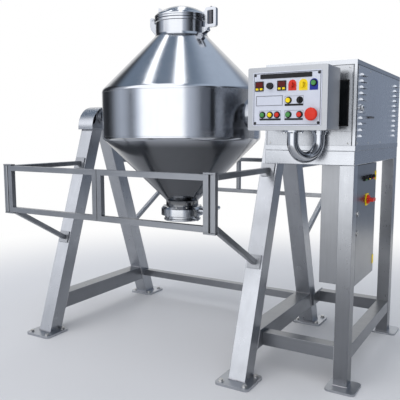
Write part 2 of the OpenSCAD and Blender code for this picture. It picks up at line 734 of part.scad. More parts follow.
// Electrical box between the posts, with its door to the outside
eb_x0 = stand_x - ebox_d;
eb_x1 = stand_x - door_t;
eb_y0 = -cab_front + post;
eb_y1 = eb_y0 + ebox_l;
eb_z1 = base_z;
eb_z0 = eb_z1 - ebox_h;
door_gap = 2;
hinge_y = eb_y1 + 10;
hinge_x = stand_x - 9;
hinge_r = 8;
hinge_z = [eb_z0 + 55, eb_z1 - 95];
module ebox() { place() color(steel) difference() {
    union() {
        box(eb_x0, eb_x1, eb_y0, eb_y1, eb_z0, eb_z1);
        for (z = hinge_z) {
            rod_z(hinge_x, hinge_y, z, z + 20, hinge_r);
            box(eb_x1 - 24, hinge_x, eb_y1 - 1, hinge_y + 3, z, z + 20);
            rod_z(hinge_x, hinge_y, z, z + 40, 3.5);
        }
    }
    box(eb_x0 + 2, eb_x1 + 1, eb_y0 + 2, eb_y1 - 2, eb_z0 + 2, eb_z1 - 2);
} }
// Mounting plate, rails, contactors and wiring duct
module ebox_gear() { place() color([0.85, 0.85, 0.82]) {
    back = eb_x0 + 2;
    box(back, back + 3, eb_y0 + 20, eb_y1 - 20, eb_z0 + 25, eb_z1 - 25);
    for (share = [0.25, 0.52, 0.78]) {
        z = eb_z0 + share * ebox_h;
        box(back + 2, back + 10, eb_y0 + 45, eb_y1 - 45, z - 17, z + 17);
        for (i = [0:4]) {
            y = eb_y0 + (0.14 + i * 0.146) * ebox_l;
            box(back + 9, back + 80 - 6 * (i % 2), y, y + 50, z - 40, z + 40);
        }
    }
    for (share = [0.125, 0.385, 0.65])
        box(back + 2, back + 60, eb_y0 + 40, eb_y1 - 40, eb_z0 + share * ebox_h - 18,
            eb_z0 + share * ebox_h + 18);
} }
module ebox_door() { place() color(steel) difference() {
    union() {
        box(eb_x1 + 0.5, stand_x, eb_y0 + door_gap, eb_y1 - door_gap, eb_z0 + door_gap, eb_z1 - door_gap);
        for (z = hinge_z) {
            rod_z(hinge_x, hinge_y, z + 20 + end_play / 2, z + 40, hinge_r);
            box(hinge_x - 7, stand_x - 1, eb_y1 - 12, hinge_y - 2, z + 20 + end_play / 2, z + 40);
        }
    }
    box(eb_x1 - 1, stand_x - 2, eb_y0 + door_gap + 2, eb_y1 - 22, eb_z0 + door_gap + 2, eb_z1 - door_gap - 2);
    for (z = hinge_z) rod_z(hinge_x, hinge_y, z, z + 41, 3.5 + run);
    for (z = latch_z) rod_x(eb_x1 - 1, stand_x + 1, latch_y, z, 9 + play);
    rod_x(eb_x1 - 1, stand_x + 1, iso_y, iso_z, 8);
} }
latch_y = eb_y0 + 20;
latch_z = [eb_z0 + 281, eb_z0 + 384];
iso_y = eb_y0 + 196;
iso_z = eb_z0 + 443;
module door_latch(z) {
    difference() {
        union() {
            rod_x(stand_x + play, stand_x + 5, latch_y, z, 15);
            rod_x(stand_x - 16, stand_x + 2, latch_y, z, 9);
        }
        rod_x(stand_x + 2, stand_x + 6, latch_y, z, 7);
    }
    box(stand_x + 2, stand_x + 4, latch_y - 1.5, latch_y + 1.5, z - 8, z + 8);
}
module door_latch_lower() { place() color(steel) door_latch(latch_z[0]); }
module door_latch_upper() { place() color(steel) door_latch(latch_z[1]); }
// Isolator handle on its square escutcheon
module isolator() { place() color(red) {
    rod_x(stand_x + 5, stand_x + 18, iso_y, iso_z, 26);
    rod_x(stand_x - 10, stand_x + 8, iso_y, iso_z, 8 - play);
    difference() {
        box(stand_x + 15, stand_x + 42, iso_y - 9, iso_y + 9, iso_z - 31, iso_z + 31);
        rod_x(stand_x + 17, stand_x + 43, iso_y - 9, iso_z, 2);
    }
} }
module phase_lamps() { place() color(dark) {
    for (i = [0:2]) translate([stand_x, eb_y0 + 135 + 75 * i, eb_z0 + 560]) {
        rod_x(0, 14, 0, 0, 15);
        rod_x(12, 24, 0, 0, 11);
        difference() {
            rod_x(12, 30, 0, 0, 15);
            rod_x(13, 31, 0, 0, 12.5);
            box(13, 31, -16, 16, -16, 3);
        }
    }
    // Escutcheon of the isolator
    difference() {
        box(stand_x, stand_x + 4, iso_y - 33, iso_y + 33, iso_z - 33, iso_z + 33);
        rod_x(stand_x - 1, stand_x + 5, iso_y, iso_z, 8 + play);
    }
} }

// Guard: posts, arms, struts and brackets in line with the A-frames
gy = guard_y - bar;
guard_top = guard_z + guard_h;
arm_c = bracket_t / cos(lean);
function face_y(z) = leg_y(z) + arm_c;
strut_a = guard_z + bar / 2 + 2;
strut_m = (strut_z - strut_a) / (face_y(strut_z) - gy);
strut_v = bar / 2 / cos(atan(strut_m));
function strut_hit(dz) =
    let (z = (strut_a + dz + strut_m * (leg_spread + arm_c - gy)) / (1 + strut_m * tl)) [face_y(z), z];
module guard_posts() { place() color(steel) {
    corners() box(frame_x - bar / 2, frame_x + bar / 2, gy, guard_y, guard_z, guard_top);
    box(-bar / 2, bar / 2, gy, guard_y, guard_z + bar, guard_top - bar);
} }
module guard_arms() { place() color(steel) corners() along_x(frame_x, bar)
    polygon([[face_y(guard_top - bar), guard_top - bar], [gy, guard_top - bar],
        [gy, guard_top], [face_y(guard_top), guard_top]]);
}
module guard_struts() { place() color(steel) corners() along_x(frame_x, bar)
    polygon([strut_hit(-strut_v), [gy, strut_a - strut_v], [gy, strut_a + strut_v], strut_hit(strut_v)]);
}
module bracket_plate(z) {
    translate([frame_x, leg_y(z), z]) rotate([lean, 0, 0]) translate([-bracket_w / 2, 0, -bracket_w / 2])
        cube([bracket_w, bracket_t, bracket_w]);
}
module guard_brackets() { place() color(steel) corners() {
    bracket_plate(strut_z);
    bracket_plate(guard_top - bar / 2);
} }
module rear_rails() { place() color(steel) for (z = [guard_z, guard_top - bar])
    box(-frame_x + bar / 2, frame_x - bar / 2, gy, guard_y, z, z + bar);
}
// Gate leaves with hinge pins between lugs on the posts
leaf_out = frame_x - bar / 2 - hinge_gap;
pin_x = leaf_out - bar / 2;
lug_t = 8;
gate_pin_r = 6;
module gate_hinges() { place() color(steel)
    for (s = [0, 1], z = [guard_z - lug_t, guard_top]) mirror([s, 0, 0]) difference() {
        box(pin_x - bar / 2, frame_x + bar / 2, -guard_y, -gy, z, z + lug_t);
        rod_z(pin_x, -guard_y + bar / 2, z - 1, z + lug_t + 1, gate_pin_r + run);
    }
}
module gate(side) {
    z0 = guard_z + end_play;
    z1 = guard_top - end_play;
    mirror([side, 0, 0]) {
        difference() {
            box(leaf_gap / 2, leaf_out, -guard_y, -gy, z0, z1);
            box(leaf_gap / 2 + bar, leaf_out - bar, -guard_y - 1, 1 - gy, z0 + bar, z1 - bar);
        }
        rod_z(pin_x, -guard_y + bar / 2, guard_z - lug_t + 1, guard_z + 5, gate_pin_r);
        rod_z(pin_x, -guard_y + bar / 2, guard_top - 5, guard_top + lug_t - 1, gate_pin_r);
    }
}
module gate_left() { place() color(steel) gate(1); }
module gate_right() { place() color(steel) gate(0); }

// Control panel on its U-shaped swivel pipe
pan_y1 = -cab_front - panel_gap;
pan_y0 = pan_y1 - panel_d;
limb_y = (pan_y0 + pan_y1) / 2;
swivel_x = panel_x + pipe_dx;
swivel_y = -cab_front - panel_gap / 2 + 0.5;
limb_d = sqrt(pow(swivel_x - panel_x, 2) + pow(swivel_y - limb_y, 2));
limb_a = atan2(swivel_y - limb_y, swivel_x - panel_x);
bend_z = panel_z - 54;
collar_z0 = panel_z - 9;
collar_h = 80;
module swivel_collar() { place() color(steel) difference() {
    union() {
        rod_z(swivel_x, swivel_y, collar_z0, collar_z0 + collar_h, pipe_r + 10);
        box(swivel_x - 30, swivel_x + 30, swivel_y, -cab_front - 3, collar_z0, collar_z0 + collar_h);
        box(swivel_x - 40, swivel_x + 40, -cab_front - 9, -cab_front - 3, collar_z0, collar_z0 + collar_h);
    }
    rod_z(swivel_x, swivel_y, collar_z0 - 1, collar_z0 + collar_h + 1, pipe_r + run);
} }
// U-shaped pipe, capped at both ends: the front limb at the origin, the swivel limb along +X
module pipe_shape() {
    drop = panel_z - bend_z;
    collar_low = collar_z0 - bend_z;
    collar_top = collar_low + collar_h;
    cylinder(h = drop, r = pipe_r);
    translate([limb_d, 0, 0]) cylinder(h = collar_top + 8, r = pipe_r);
    translate([limb_d / 2, 0, 0]) rotate([-90, 0, 0]) rotate_extrude(angle = 180)
        translate([limb_d / 2, 0]) circle(pipe_r);
    // Shoulder under the collar and cap above it
    translate([limb_d, 0, collar_low - 12]) cylinder(h = 12 - end_play, r = pipe_r + 7);
    translate([limb_d, 0, collar_top + end_play]) cylinder(h = 14 - end_play, r = pipe_r + 7);
    // Flange under the panel box and its four bolts
    translate([0, 0, drop - 8]) cylinder(h = 8, r = pipe_r + 26);
    for (i = [0:3]) rotate([0, 0, 45 + 90 * i]) translate([pipe_r + 14, 0, drop - 14]) hex_head(7, 7);
}
module swivel_pipe() { place() color(steel)
    translate([panel_x, limb_y, bend_z]) rotate([0, 0, limb_a]) pipe_shape();
}
panel_c = panel_z + panel_h / 2 - 1;
front_y = pan_y0 - 2;
module panel_box() { place() color(steel) difference() {
    translate([panel_x, pan_y1, panel_z + panel_h / 2]) rotate([90, 0, 0]) linear_extrude(panel_d)
        round_rect(panel_w, panel_h, 8);
    box(panel_x - panel_w / 2 + 2, panel_x + panel_w / 2 - 2, pan_y0 + 2, pan_y1 - 2,
        panel_z + 2, panel_z + panel_h - 2);
    box(panel_x - plate_w / 2 + 12, panel_x + plate_w / 2 - 12, pan_y0 - 1, pan_y0 + 3,
        panel_c - plate_h / 2 + 12, panel_c + plate_h / 2 - 12);
} }
module panel_plate() { place() color([0.82, 0.83, 0.87]) along_y(pan_y0 - 1, 2)
    translate([panel_x, panel_c]) round_rect(plate_w, plate_h, 8);
}
// Places of the controls from the plate's middle, as shares of its width and height
function px(share) = share * plate_w;
function pz(share) = share * plate_h;
row1 = pz(0.242);
row2 = pz(-0.031);
row3 = pz(-0.293);
label_drop = 22;
disp_x = [px(-0.398), px(-0.066)];
knob_p = [px(-0.236), row1];
sel_red_p = [px(0.087), row1];
sel_yel_p = [px(0.242), row1];
btn_blue_p = [px(0.389), row1 + 6];
btn_yel_p = [px(0.035), row2];
sel_blk_p = [px(0.196), row2];
row3_x = [px(-0.349), px(-0.236), px(-0.13), px(0.037), px(0.196)];
estop_p = [px(0.378), row3];
btn_r = 11;
bezel_r = 15;
bezel_h = 6;
key_w = 13;
key_h = 9;
module at(p, y0) { translate([panel_x + p[0], y0, panel_c + p[1]]) rotate([90, 0, 0]) children(); }
module arched_plate(p, w, h, hole) {
    at([p[0], row1], front_y) linear_extrude(1.5) difference() {
        union() {
            translate([-w / 2, -h / 2]) square([w, h - w / 2]);
            translate([0, h / 2 - w / 2]) circle(w / 2);
        }
        translate([0, hole]) circle(bezel_r + play);
    }
}
module display(x) {
    at([x, row1], front_y) difference() {
        linear_extrude(5) round_rect(44, 46, 4);
        for (s = [-1, 1]) translate([s * 11, -14, 1]) linear_extrude(5)
            square([key_w + 2 * play, key_h + 2 * play], center = true);
        translate([0, 6, 4]) linear_extrude(2) square([34, 20], center = true);
    }
}
module strip(p, w, h) { at(p, front_y) linear_extrude(1.5) square([w, h], center = true); }
module panel_trim() { place() color(dark) {
    // Bare title strip and label strips
    strip([px(-0.012), pz(0.418)], px(0.75), 22);
    strip([px(0.115), row2 - label_drop], px(0.265), 8);
    strip([px(-0.233), row3 - label_drop], px(0.317), 8);
    strip([px(0.115), row3 - label_drop], px(0.265), 8);
    for (x = disp_x) display(x);
    arched_plate(sel_red_p, 40, 50, 0);
    arched_plate(sel_yel_p, 42, 52, 0);
    arched_plate(btn_blue_p, 40, 52, btn_blue_p[1] - row1);
    // Outlined blank field
    at([px(-0.249), row2], front_y) linear_extrude(1.5) difference() {
        square([px(0.395), 47], center = true);
        square([px(0.395) - 4, 43], center = true);
    }
    // Border line and corner screws of the plate
    at([0, 0], front_y) linear_extrude(0.6) difference() {
        square([plate_w - 10, plate_h - 10], center = true);
        square([plate_w - 14, plate_h - 14], center = true);
        for (a = [-1, 1], b = [-1, 1]) translate([a * (plate_w / 2 - 14), b * (plate_h / 2 - 14)]) circle(8);
    }
    for (a = [-1, 1], b = [-1, 1])
        at([a * (plate_w / 2 - 14), b * (plate_h / 2 - 14)], front_y) cylinder(h = 3, r = 5);
} }
module bezel(p) {
    at(p, front_y) difference() {
        cylinder(h = bezel_h, r = bezel_r);
        translate([0, 0, -1]) cylinder(h = bezel_h + 2, r = btn_r + play);
    }
}
module bezels() { place() color(dark) {
    for (p = [knob_p, sel_red_p, sel_yel_p, btn_blue_p, btn_yel_p, sel_blk_p]) bezel(p);
    for (x = row3_x) bezel([x, row3]);
    at(estop_p, front_y) difference() {
        cylinder(h = 10, r = 22);
        translate([0, 0, -1]) cylinder(h = 12, r = 16 + play);
    }
} }
// Push button that stands proud of its bezel, with a free stroke behind it
stroke = 4;
module button(p) {
    at(p, front_y - stroke - 0.5) cylinder(h = 8, r = btn_r);
}
module selector(p, tall) {
    at(p, front_y) {
        translate([0, 0, play]) cylinder(h = bezel_h + 2, r = btn_r);
        translate([-3.5, -btn_r - 1.5, bezel_h + 1]) cube([7, 2 * btn_r + 3, tall]);
    }
}
module button_blue() { place() color(green) button(btn_blue_p); }
module button_yellow() { place() color(yellow) button(btn_yel_p); }
// Fixed pilot lamps with a domed lens
module lamp(p) {
    at(p, front_y) {
        cylinder(h = bezel_h, r = btn_r);
        rotate_extrude() polygon([[0, bezel_h - 1], [btn_r, bezel_h - 1], [btn_r, bezel_h + 1],
            [btn_r * 0.8, bezel_h + 3.5], [btn_r * 0.45, bezel_h + 5], [0, bezel_h + 5.5]]);
    }
}
module lamp_green() { place() color(green) lamp([row3_x[0], row3]); }
module lamp_yellow() { place() color(yellow) lamp([row3_x[1], row3]); }
module lamp_red() { place() color(red) lamp([row3_x[2], row3]); }
module button_green() { place() color(green) button([row3_x[3], row3]); }
module button_red() { place() color(red) button([row3_x[4], row3]); }
module selector_red() { place() color(dark) selector(sel_red_p, 11); }
module selector_yellow() { place() color(dark) selector(sel_yel_p, 11); }
module selector_black() { place() color(dark) selector(sel_blk_p, 13); }
module speed_knob() { place() color(dark) at(knob_p, front_y) difference() {
    union() {
        translate([0, 0, play]) cylinder(h = bezel_h + 1, r = btn_r);
        translate([0, 0, bezel_h + 0.5]) cylinder(h = 13, r = 14);
    }
    for (i = [0:11]) rotate([0, 0, 30 * i]) translate([15.5, 0, bezel_h]) cylinder(h = 15, r = 2.2);
    translate([-0.8, 4, bezel_h + 12.5]) cube([1.6, 12, 3]);
} }
// Emergency stop: stem and mushroom head
module estop() { place() color(red) at(estop_p, front_y) {
    translate([0, 0, 7]) cylinder(h = 12, r = 16);
    rotate_extrude() polygon([[0, 17], [26, 17], [30, 20], [30, 25], [25, 30], [0, 33]]);
} }
module key(i, s) {
    at([disp_x[i] + s * 11, row1 - 14], front_y - 2.5) linear_extrude(4.5)
        square([key_w, key_h], center = true);
}
module key_1() { place() color(yellow) key(0, -1); }
module key_2() { place() color(yellow) key(0, 1); }
module key_3() { place() color(yellow) key(1, -1); }
module key_4() { place() color(yellow) key(1, 1); }

legs();
low_beams();
foot_plates();
anchor_bolts();
seat_plates();
bearings();
hoods();
stand_posts();
stand_rails();
base_tray();
cabinet();
front_cover();
louvre_panel();
gearmotor();
ebox();
ebox_gear();
ebox_door();
door_latch_upper();
door_latch_lower();
isolator();
phase_lamps();
guard_posts();
guard_arms();
guard_struts();
guard_brackets();
gate_hinges();
rear_rails();
gate_left();
gate_right();
swivel_collar();
swivel_pipe();
panel_box();
panel_plate();
panel_trim();
bezels();
key_1();
key_2();
key_3();
key_4();
speed_knob();
selector_red();
selector_yellow();
button_blue();
button_yellow();
selector_black();
lamp_green();
lamp_yellow();
lamp_red();
button_green();
button_red();
estop();
shell();
trunnions();
charge_neck();
lid();
clamp_frame();
clamp_barrel();
valve_body();
outlet_ring();
valve_disc();
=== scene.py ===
import json
import math

import bmesh
import bpy
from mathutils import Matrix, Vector


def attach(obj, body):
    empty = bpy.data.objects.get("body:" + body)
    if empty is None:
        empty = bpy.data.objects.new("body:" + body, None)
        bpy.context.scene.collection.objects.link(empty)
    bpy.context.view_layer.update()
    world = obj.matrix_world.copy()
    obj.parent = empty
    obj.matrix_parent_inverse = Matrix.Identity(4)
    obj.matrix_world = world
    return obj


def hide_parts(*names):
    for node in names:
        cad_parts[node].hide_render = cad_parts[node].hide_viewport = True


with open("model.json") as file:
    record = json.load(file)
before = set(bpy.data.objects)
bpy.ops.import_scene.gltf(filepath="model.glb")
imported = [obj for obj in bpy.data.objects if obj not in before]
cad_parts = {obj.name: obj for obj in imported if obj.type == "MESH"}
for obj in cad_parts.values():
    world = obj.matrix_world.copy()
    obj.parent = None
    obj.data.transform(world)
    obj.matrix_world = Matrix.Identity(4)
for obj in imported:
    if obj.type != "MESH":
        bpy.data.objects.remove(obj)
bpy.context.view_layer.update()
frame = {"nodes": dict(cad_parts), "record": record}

# Frame and units
MM = 0.001
SHIFT_X = 244.75  # the part's origin in the machine's own millimetres along X
BODIES = frame["record"]["behaviour"]["bodies"]
BODY_OF = {node: body for body, nodes in BODIES.items() for node in nodes}
scene = bpy.context.scene


def pt(x, y, z):
    """A point in the machine's millimetres, as a point of the frame in metres."""
    return Vector(((x - SHIFT_X) * MM, y * MM, z * MM))


# Camera
CAM_AT = (1991.2, -3102.1, 1340.0)
CAM_TILT = math.radians(90 - 6.98)
CAM_TURN = math.radians(30.82)
CAM_LENS = 49.03

cam_data = bpy.data.cameras.new("camera")
cam_data.sensor_width = 36
cam_data.lens = CAM_LENS
cam_data.clip_end = 200
camera = bpy.data.objects.new("camera", cam_data)
camera.location = pt(*CAM_AT)
camera.rotation_euler = (CAM_TILT, 0, CAM_TURN)
scene.collection.objects.link(camera)
scene.camera = camera


# Materials
def srgb(r, g, b):
    """A colour from 0-255 display values, in scene-linear numbers."""
    shares = (r / 255, g / 255, b / 255)
    return tuple(c / 12.92 if c <= 0.04045 else ((c + 0.055) / 1.055) ** 2.4 for c in shares)


class Nodes:
    """A short way to add and join nodes of one tree."""

    def __init__(self, tree):
        self.tree = tree
        tree.nodes.clear()

    def add(self, kind, **values):
        node = self.tree.nodes.new(kind)
        for key, value in values.items():
            setattr(node, key, value)
        return node

    def link(self, a, b):
        self.tree.links.new(a, b)

    def put(self, socket, value):
        """Sets a socket, or joins it to another node's output."""
        if isinstance(value, bpy.types.NodeSocket):
            self.link(value, socket)
        else:
            socket.default_value = value

    def math(self, how, a, b):
        node = self.add("ShaderNodeMath", operation=how)
        for socket, value in zip(node.inputs, (a, b)):
            self.put(socket, value)
        return node.outputs[0]

    def dot(self, vector, direction):
        node = self.add("ShaderNodeVectorMath", operation="DOT_PRODUCT")
        self.put(node.inputs[0], vector)
        node.inputs[1].default_value = direction
        return node.outputs["Value"]

    def range(self, value, a, b, c, d, smooth=False):
        """Maps a to b onto c to d."""
        node = self.add("ShaderNodeMapRange", interpolation_type="SMOOTHSTEP" if smooth else "LINEAR")
        for socket, number in zip(node.inputs[:5], (value, a, b, c, d)):
            self.put(socket, number)
        return node.outputs[0]

    def mix(self, share, a, b):
        node = self.add("ShaderNodeMix", data_type="RGBA")
        self.put(node.inputs[0], share)
        for socket, value in ((node.inputs[6], a), (node.inputs[7], b)):
            self.put(socket, (*value, 1.0) if isinstance(value, tuple) and len(value) == 3 else value)
        return node.outputs[2]

    def noise(self, vector, scale, detail, rough, stretch=(1, 1, 1)):
        mapping = self.add("ShaderNodeMapping")
        self.link(vector, mapping.inputs["Vector"])
        mapping.inputs["Scale"].default_value = stretch
        node = self.add("ShaderNodeTexNoise")
        self.link(mapping.outputs[0], node.inputs["Vector"])
        node.inputs["Scale"].default_value = scale
        node.inputs["Detail"].default_value = detail
        node.inputs["Roughness"].default_value = rough
        return node.outputs["Fac"]

    def ramp(self, value, stops):
        node = self.add("ShaderNodeValToRGB")
        self.link(value, node.inputs[0])
        elements = node.color_ramp.elements
        while len(elements) < len(stops):
            elements.new(0.5)
        for element, (at, colour) in zip(elements, stops):
            element.position = at
            element.color = (*colour, 1.0)
        return node.outputs[0]

    def bump(self, height, strength, distance):
        node = self.add("ShaderNodeBump")
        node.inputs["Strength"].default_value = strength
        node.inputs["Distance"].default_value = distance
        self.link(height, node.inputs["Height"])
        return node.outputs[0]


def new_material(name):
    material = bpy.data.materials.new(name)
    material.use_nodes = True
    return material, Nodes(material.node_tree)


def steel(name, base, rough, grain=(1, 1, 1), spread=0.08, cloud=0.10, bump=0.05, scale=260.0,
          turned=0.0, painted_shade_below=None):
    """Stainless steel: brushed grain stretched across `grain`, soft clouds and wiped marks.

    `turned` is how strongly it shines along the turning marks round the Z axis. The last argument
    paints shade, a colour that darkens towards the bottom: (height, height, share), the share of the
    colour at the first height and all of it at the second.
    """
    material, n = new_material(name)
    out = n.add("ShaderNodeOutputMaterial")
    shader = n.add("ShaderNodeBsdfPrincipled")
    n.link(shader.outputs[0], out.inputs[0])
    place = n.add("ShaderNodeTexCoord").outputs["Object"]
    fine = n.noise(place, scale, detail=4.0, rough=0.6, stretch=grain)
    streak = n.noise(place, scale * 0.12, detail=3.0, rough=0.6, stretch=grain)
    clouds = n.noise(place, scale=3.2, detail=4.0, rough=0.55)
    marks = n.noise(place, scale=17.0, detail=5.0, rough=0.7)
    tone = n.math("ADD", n.range(clouds, 0.3, 0.7, 1 - cloud, 1 + cloud * 0.6),
                  n.range(streak, 0.3, 0.7, -cloud * 0.35, cloud * 0.35))
    # Painted shade: the colour is darkened towards the bottom of the object.
    if painted_shade_below is not None:
        low, high, least = painted_shade_below
        height = n.add("ShaderNodeSeparateXYZ")
        n.link(place, height.inputs[0])
        tone = n.math("MULTIPLY", tone, n.range(height.outputs[2], low, high, least, 1.0, True))
    scaled = n.add("ShaderNodeVectorMath", operation="SCALE")
    scaled.inputs[0].default_value = base
    n.link(tone, scaled.inputs["Scale"])
    n.link(scaled.outputs[0], shader.inputs["Base Color"])
    shader.inputs["Metallic"].default_value = 1.0
    rough_now = n.math("ADD", n.range(fine, 0.25, 0.75, rough - spread * 0.5, rough + spread * 0.5),
                       n.range(marks, 0.35, 0.75, -spread * 0.25, spread * 0.6))
    n.link(rough_now, shader.inputs["Roughness"])
    if turned:
        shader.inputs["Anisotropic"].default_value = turned
        tangent = n.add("ShaderNodeTangent", direction_type="RADIAL", axis="Z")
        n.link(tangent.outputs[0], shader.inputs["Tangent"])
    n.link(n.bump(fine, bump, 0.0006), shader.inputs["Normal"])
    return material


def plastic(name, base, rough=0.35, vary=0.06, bump=0.03, scale=900.0, gloss=0.3):
    """Moulded plastic or paint: fine grain in the surface and slow changes of tone and gloss."""
    material, n = new_material(name)
    out = n.add("ShaderNodeOutputMaterial")
    shader = n.add("ShaderNodeBsdfPrincipled")
    n.link(shader.outputs[0], out.inputs[0])
    place = n.add("ShaderNodeTexCoord").outputs["Object"]
    grain = n.noise(place, scale, detail=2.0, rough=0.5)
    clouds = n.noise(place, scale=22.0, detail=4.0, rough=0.6)
    dark = tuple(c * (1 - vary * 2) for c in base)
    light = tuple(min(1.0, c * (1 + vary)) for c in base)
    n.link(n.mix(n.range(clouds, 0.3, 0.7, 0.0, 1.0), dark, light), shader.inputs["Base Color"])
    n.link(n.range(clouds, 0.3, 0.7, rough - 0.05, rough + 0.07), shader.inputs["Roughness"])
    n.link(n.bump(grain, bump, 0.0003), shader.inputs["Normal"])
    shader.inputs["Specular IOR Level"].default_value = gloss
    return material


TINT = (0.93, 0.965, 1.03)


def grey(value):
    """The slightly blue grey of the steel."""
    return tuple(value * t for t in TINT)


# Painted shade: the shell's colour darkens below the band, standing in for the shaded floor that the lower
# cone reflects.
VESSEL = steel("vessel_steel", grey(0.50), 0.125, (1, 1, 0.06), spread=0.06, cloud=0.05, bump=0.03,
               turned=0.55, painted_shade_below=(1.25, 1.315, 0.31))
POLISHED = steel("polished_steel", grey(0.45), 0.16, (1, 1, 0.08), spread=0.06, cloud=0.05, bump=0.02)
SATIN_V = steel("frame_steel_upright", grey(0.40), 0.30, (1, 1, 0.05), cloud=0.10)
# Painted shade: the stand posts' colour darkens towards their feet.
POST = steel("post_steel_upright", grey(0.40), 0.30, (1, 1, 0.05), cloud=0.10,
             painted_shade_below=(0.40, 1.15, 0.55))
# Painted shade: the low rails and beams are darker copies of the frame steel than the legs.
SATIN_X = steel("frame_steel_along_x", grey(0.25), 0.31, (0.05, 1, 1), cloud=0.10)
SATIN_Y = steel("frame_steel_along_y", grey(0.26), 0.31, (1, 0.05, 1), cloud=0.10)
GUARD_X = steel("guard_steel_along_x", grey(0.30), 0.34, (0.05, 1, 1), cloud=0.12)
GUARD_Y = steel("guard_steel_along_y", grey(0.30), 0.34, (1, 0.05, 1), cloud=0.12)
GUARD_Z = steel("guard_steel_upright", grey(0.30), 0.34, (1, 1, 0.05), cloud=0.12)
SMOOTH = {"spread": 0.05, "bump": 0.01}
UPRIGHT_SHEET = {"grain": (1, 1, 0.05), "scale": 900.0, **SMOOTH}
SHEET = steel("cabinet_sheet", grey(0.45), 0.27, cloud=0.06, **UPRIGHT_SHEET)
# Painted shade: the front cover is a darker copy of the cabinet sheet.
COVER_SHEET = steel("cover_sheet", grey(0.37), 0.27, cloud=0.06, **UPRIGHT_SHEET)
# Painted light: the side panel is a lighter copy of the cabinet sheet.
SIDE_SHEET = steel("side_sheet", grey(0.60), 0.27, cloud=0.06, **UPRIGHT_SHEET)
BOX_STEEL = steel("box_sheet", grey(0.25), 0.30, cloud=0.08, **UPRIGHT_SHEET)
SHEET_FLAT = steel("sheet_level", grey(0.45), 0.28, (0.06, 0.06, 1), cloud=0.06, **SMOOTH)
PLATE_STEEL = steel("plate_steel", grey(0.46), 0.36, (0.3, 1, 1), cloud=0.12)
CAST = steel("cast_bearing", grey(0.40), 0.42, cloud=0.16, bump=0.25, scale=140)
ZINC = steel("bolt_zinc", (0.55, 0.55, 0.54), 0.34, cloud=0.2, bump=0.1)
DARK_STEEL = steel("blackened_steel", (0.10, 0.10, 0.11), 0.38, cloud=0.15, bump=0.1)
WELD = steel("weld_bead", (0.42, 0.42, 0.44), 0.40, cloud=0.25, bump=0.3, scale=120)
FACEPLATE = plastic("anodised_faceplate", srgb(208, 212, 224), 0.42, 0.02, 0.02)
ENCLOSURE = steel("enclosure_face", grey(0.33), 0.33, (0.06, 1, 1), cloud=0.04, **SMOOTH)
BLACK = plastic("black_plastic", (0.012, 0.012, 0.014), 0.38, 0.2, gloss=0.18)
RUBBER = plastic("black_rubber", (0.014, 0.014, 0.015), 0.6, 0.2, 0.08, gloss=0.2)
RED = plastic("red_plastic", srgb(214, 48, 30), 0.32, 0.06, gloss=0.25)
YELLOW = plastic("yellow_plastic", srgb(248, 216, 20), 0.34, 0.05, gloss=0.25)
GREEN = plastic("green_plastic", srgb(74, 142, 76), 0.34, 0.06, gloss=0.25)
BLUE = plastic("blue_plastic", srgb(26, 44, 140), 0.36, 0.06, gloss=0.2)
DISPLAY = plastic("display_window", srgb(88, 12, 10), 0.2, 0.10, 0.0, gloss=0.15)
GLASS = plastic("black_glass", (0.006, 0.007, 0.008), 0.10, 0.2, 0.0, gloss=0.35)
LINE_GREY = plastic("outline_grey", srgb(92, 94, 104), 0.5, 0.03)
MOTOR = plastic("motor_paint", srgb(66, 96, 140), 0.42, 0.08, 0.05, 400.0)
GEAR_GREY = plastic("control_gear", srgb(206, 206, 200), 0.5, 0.05)


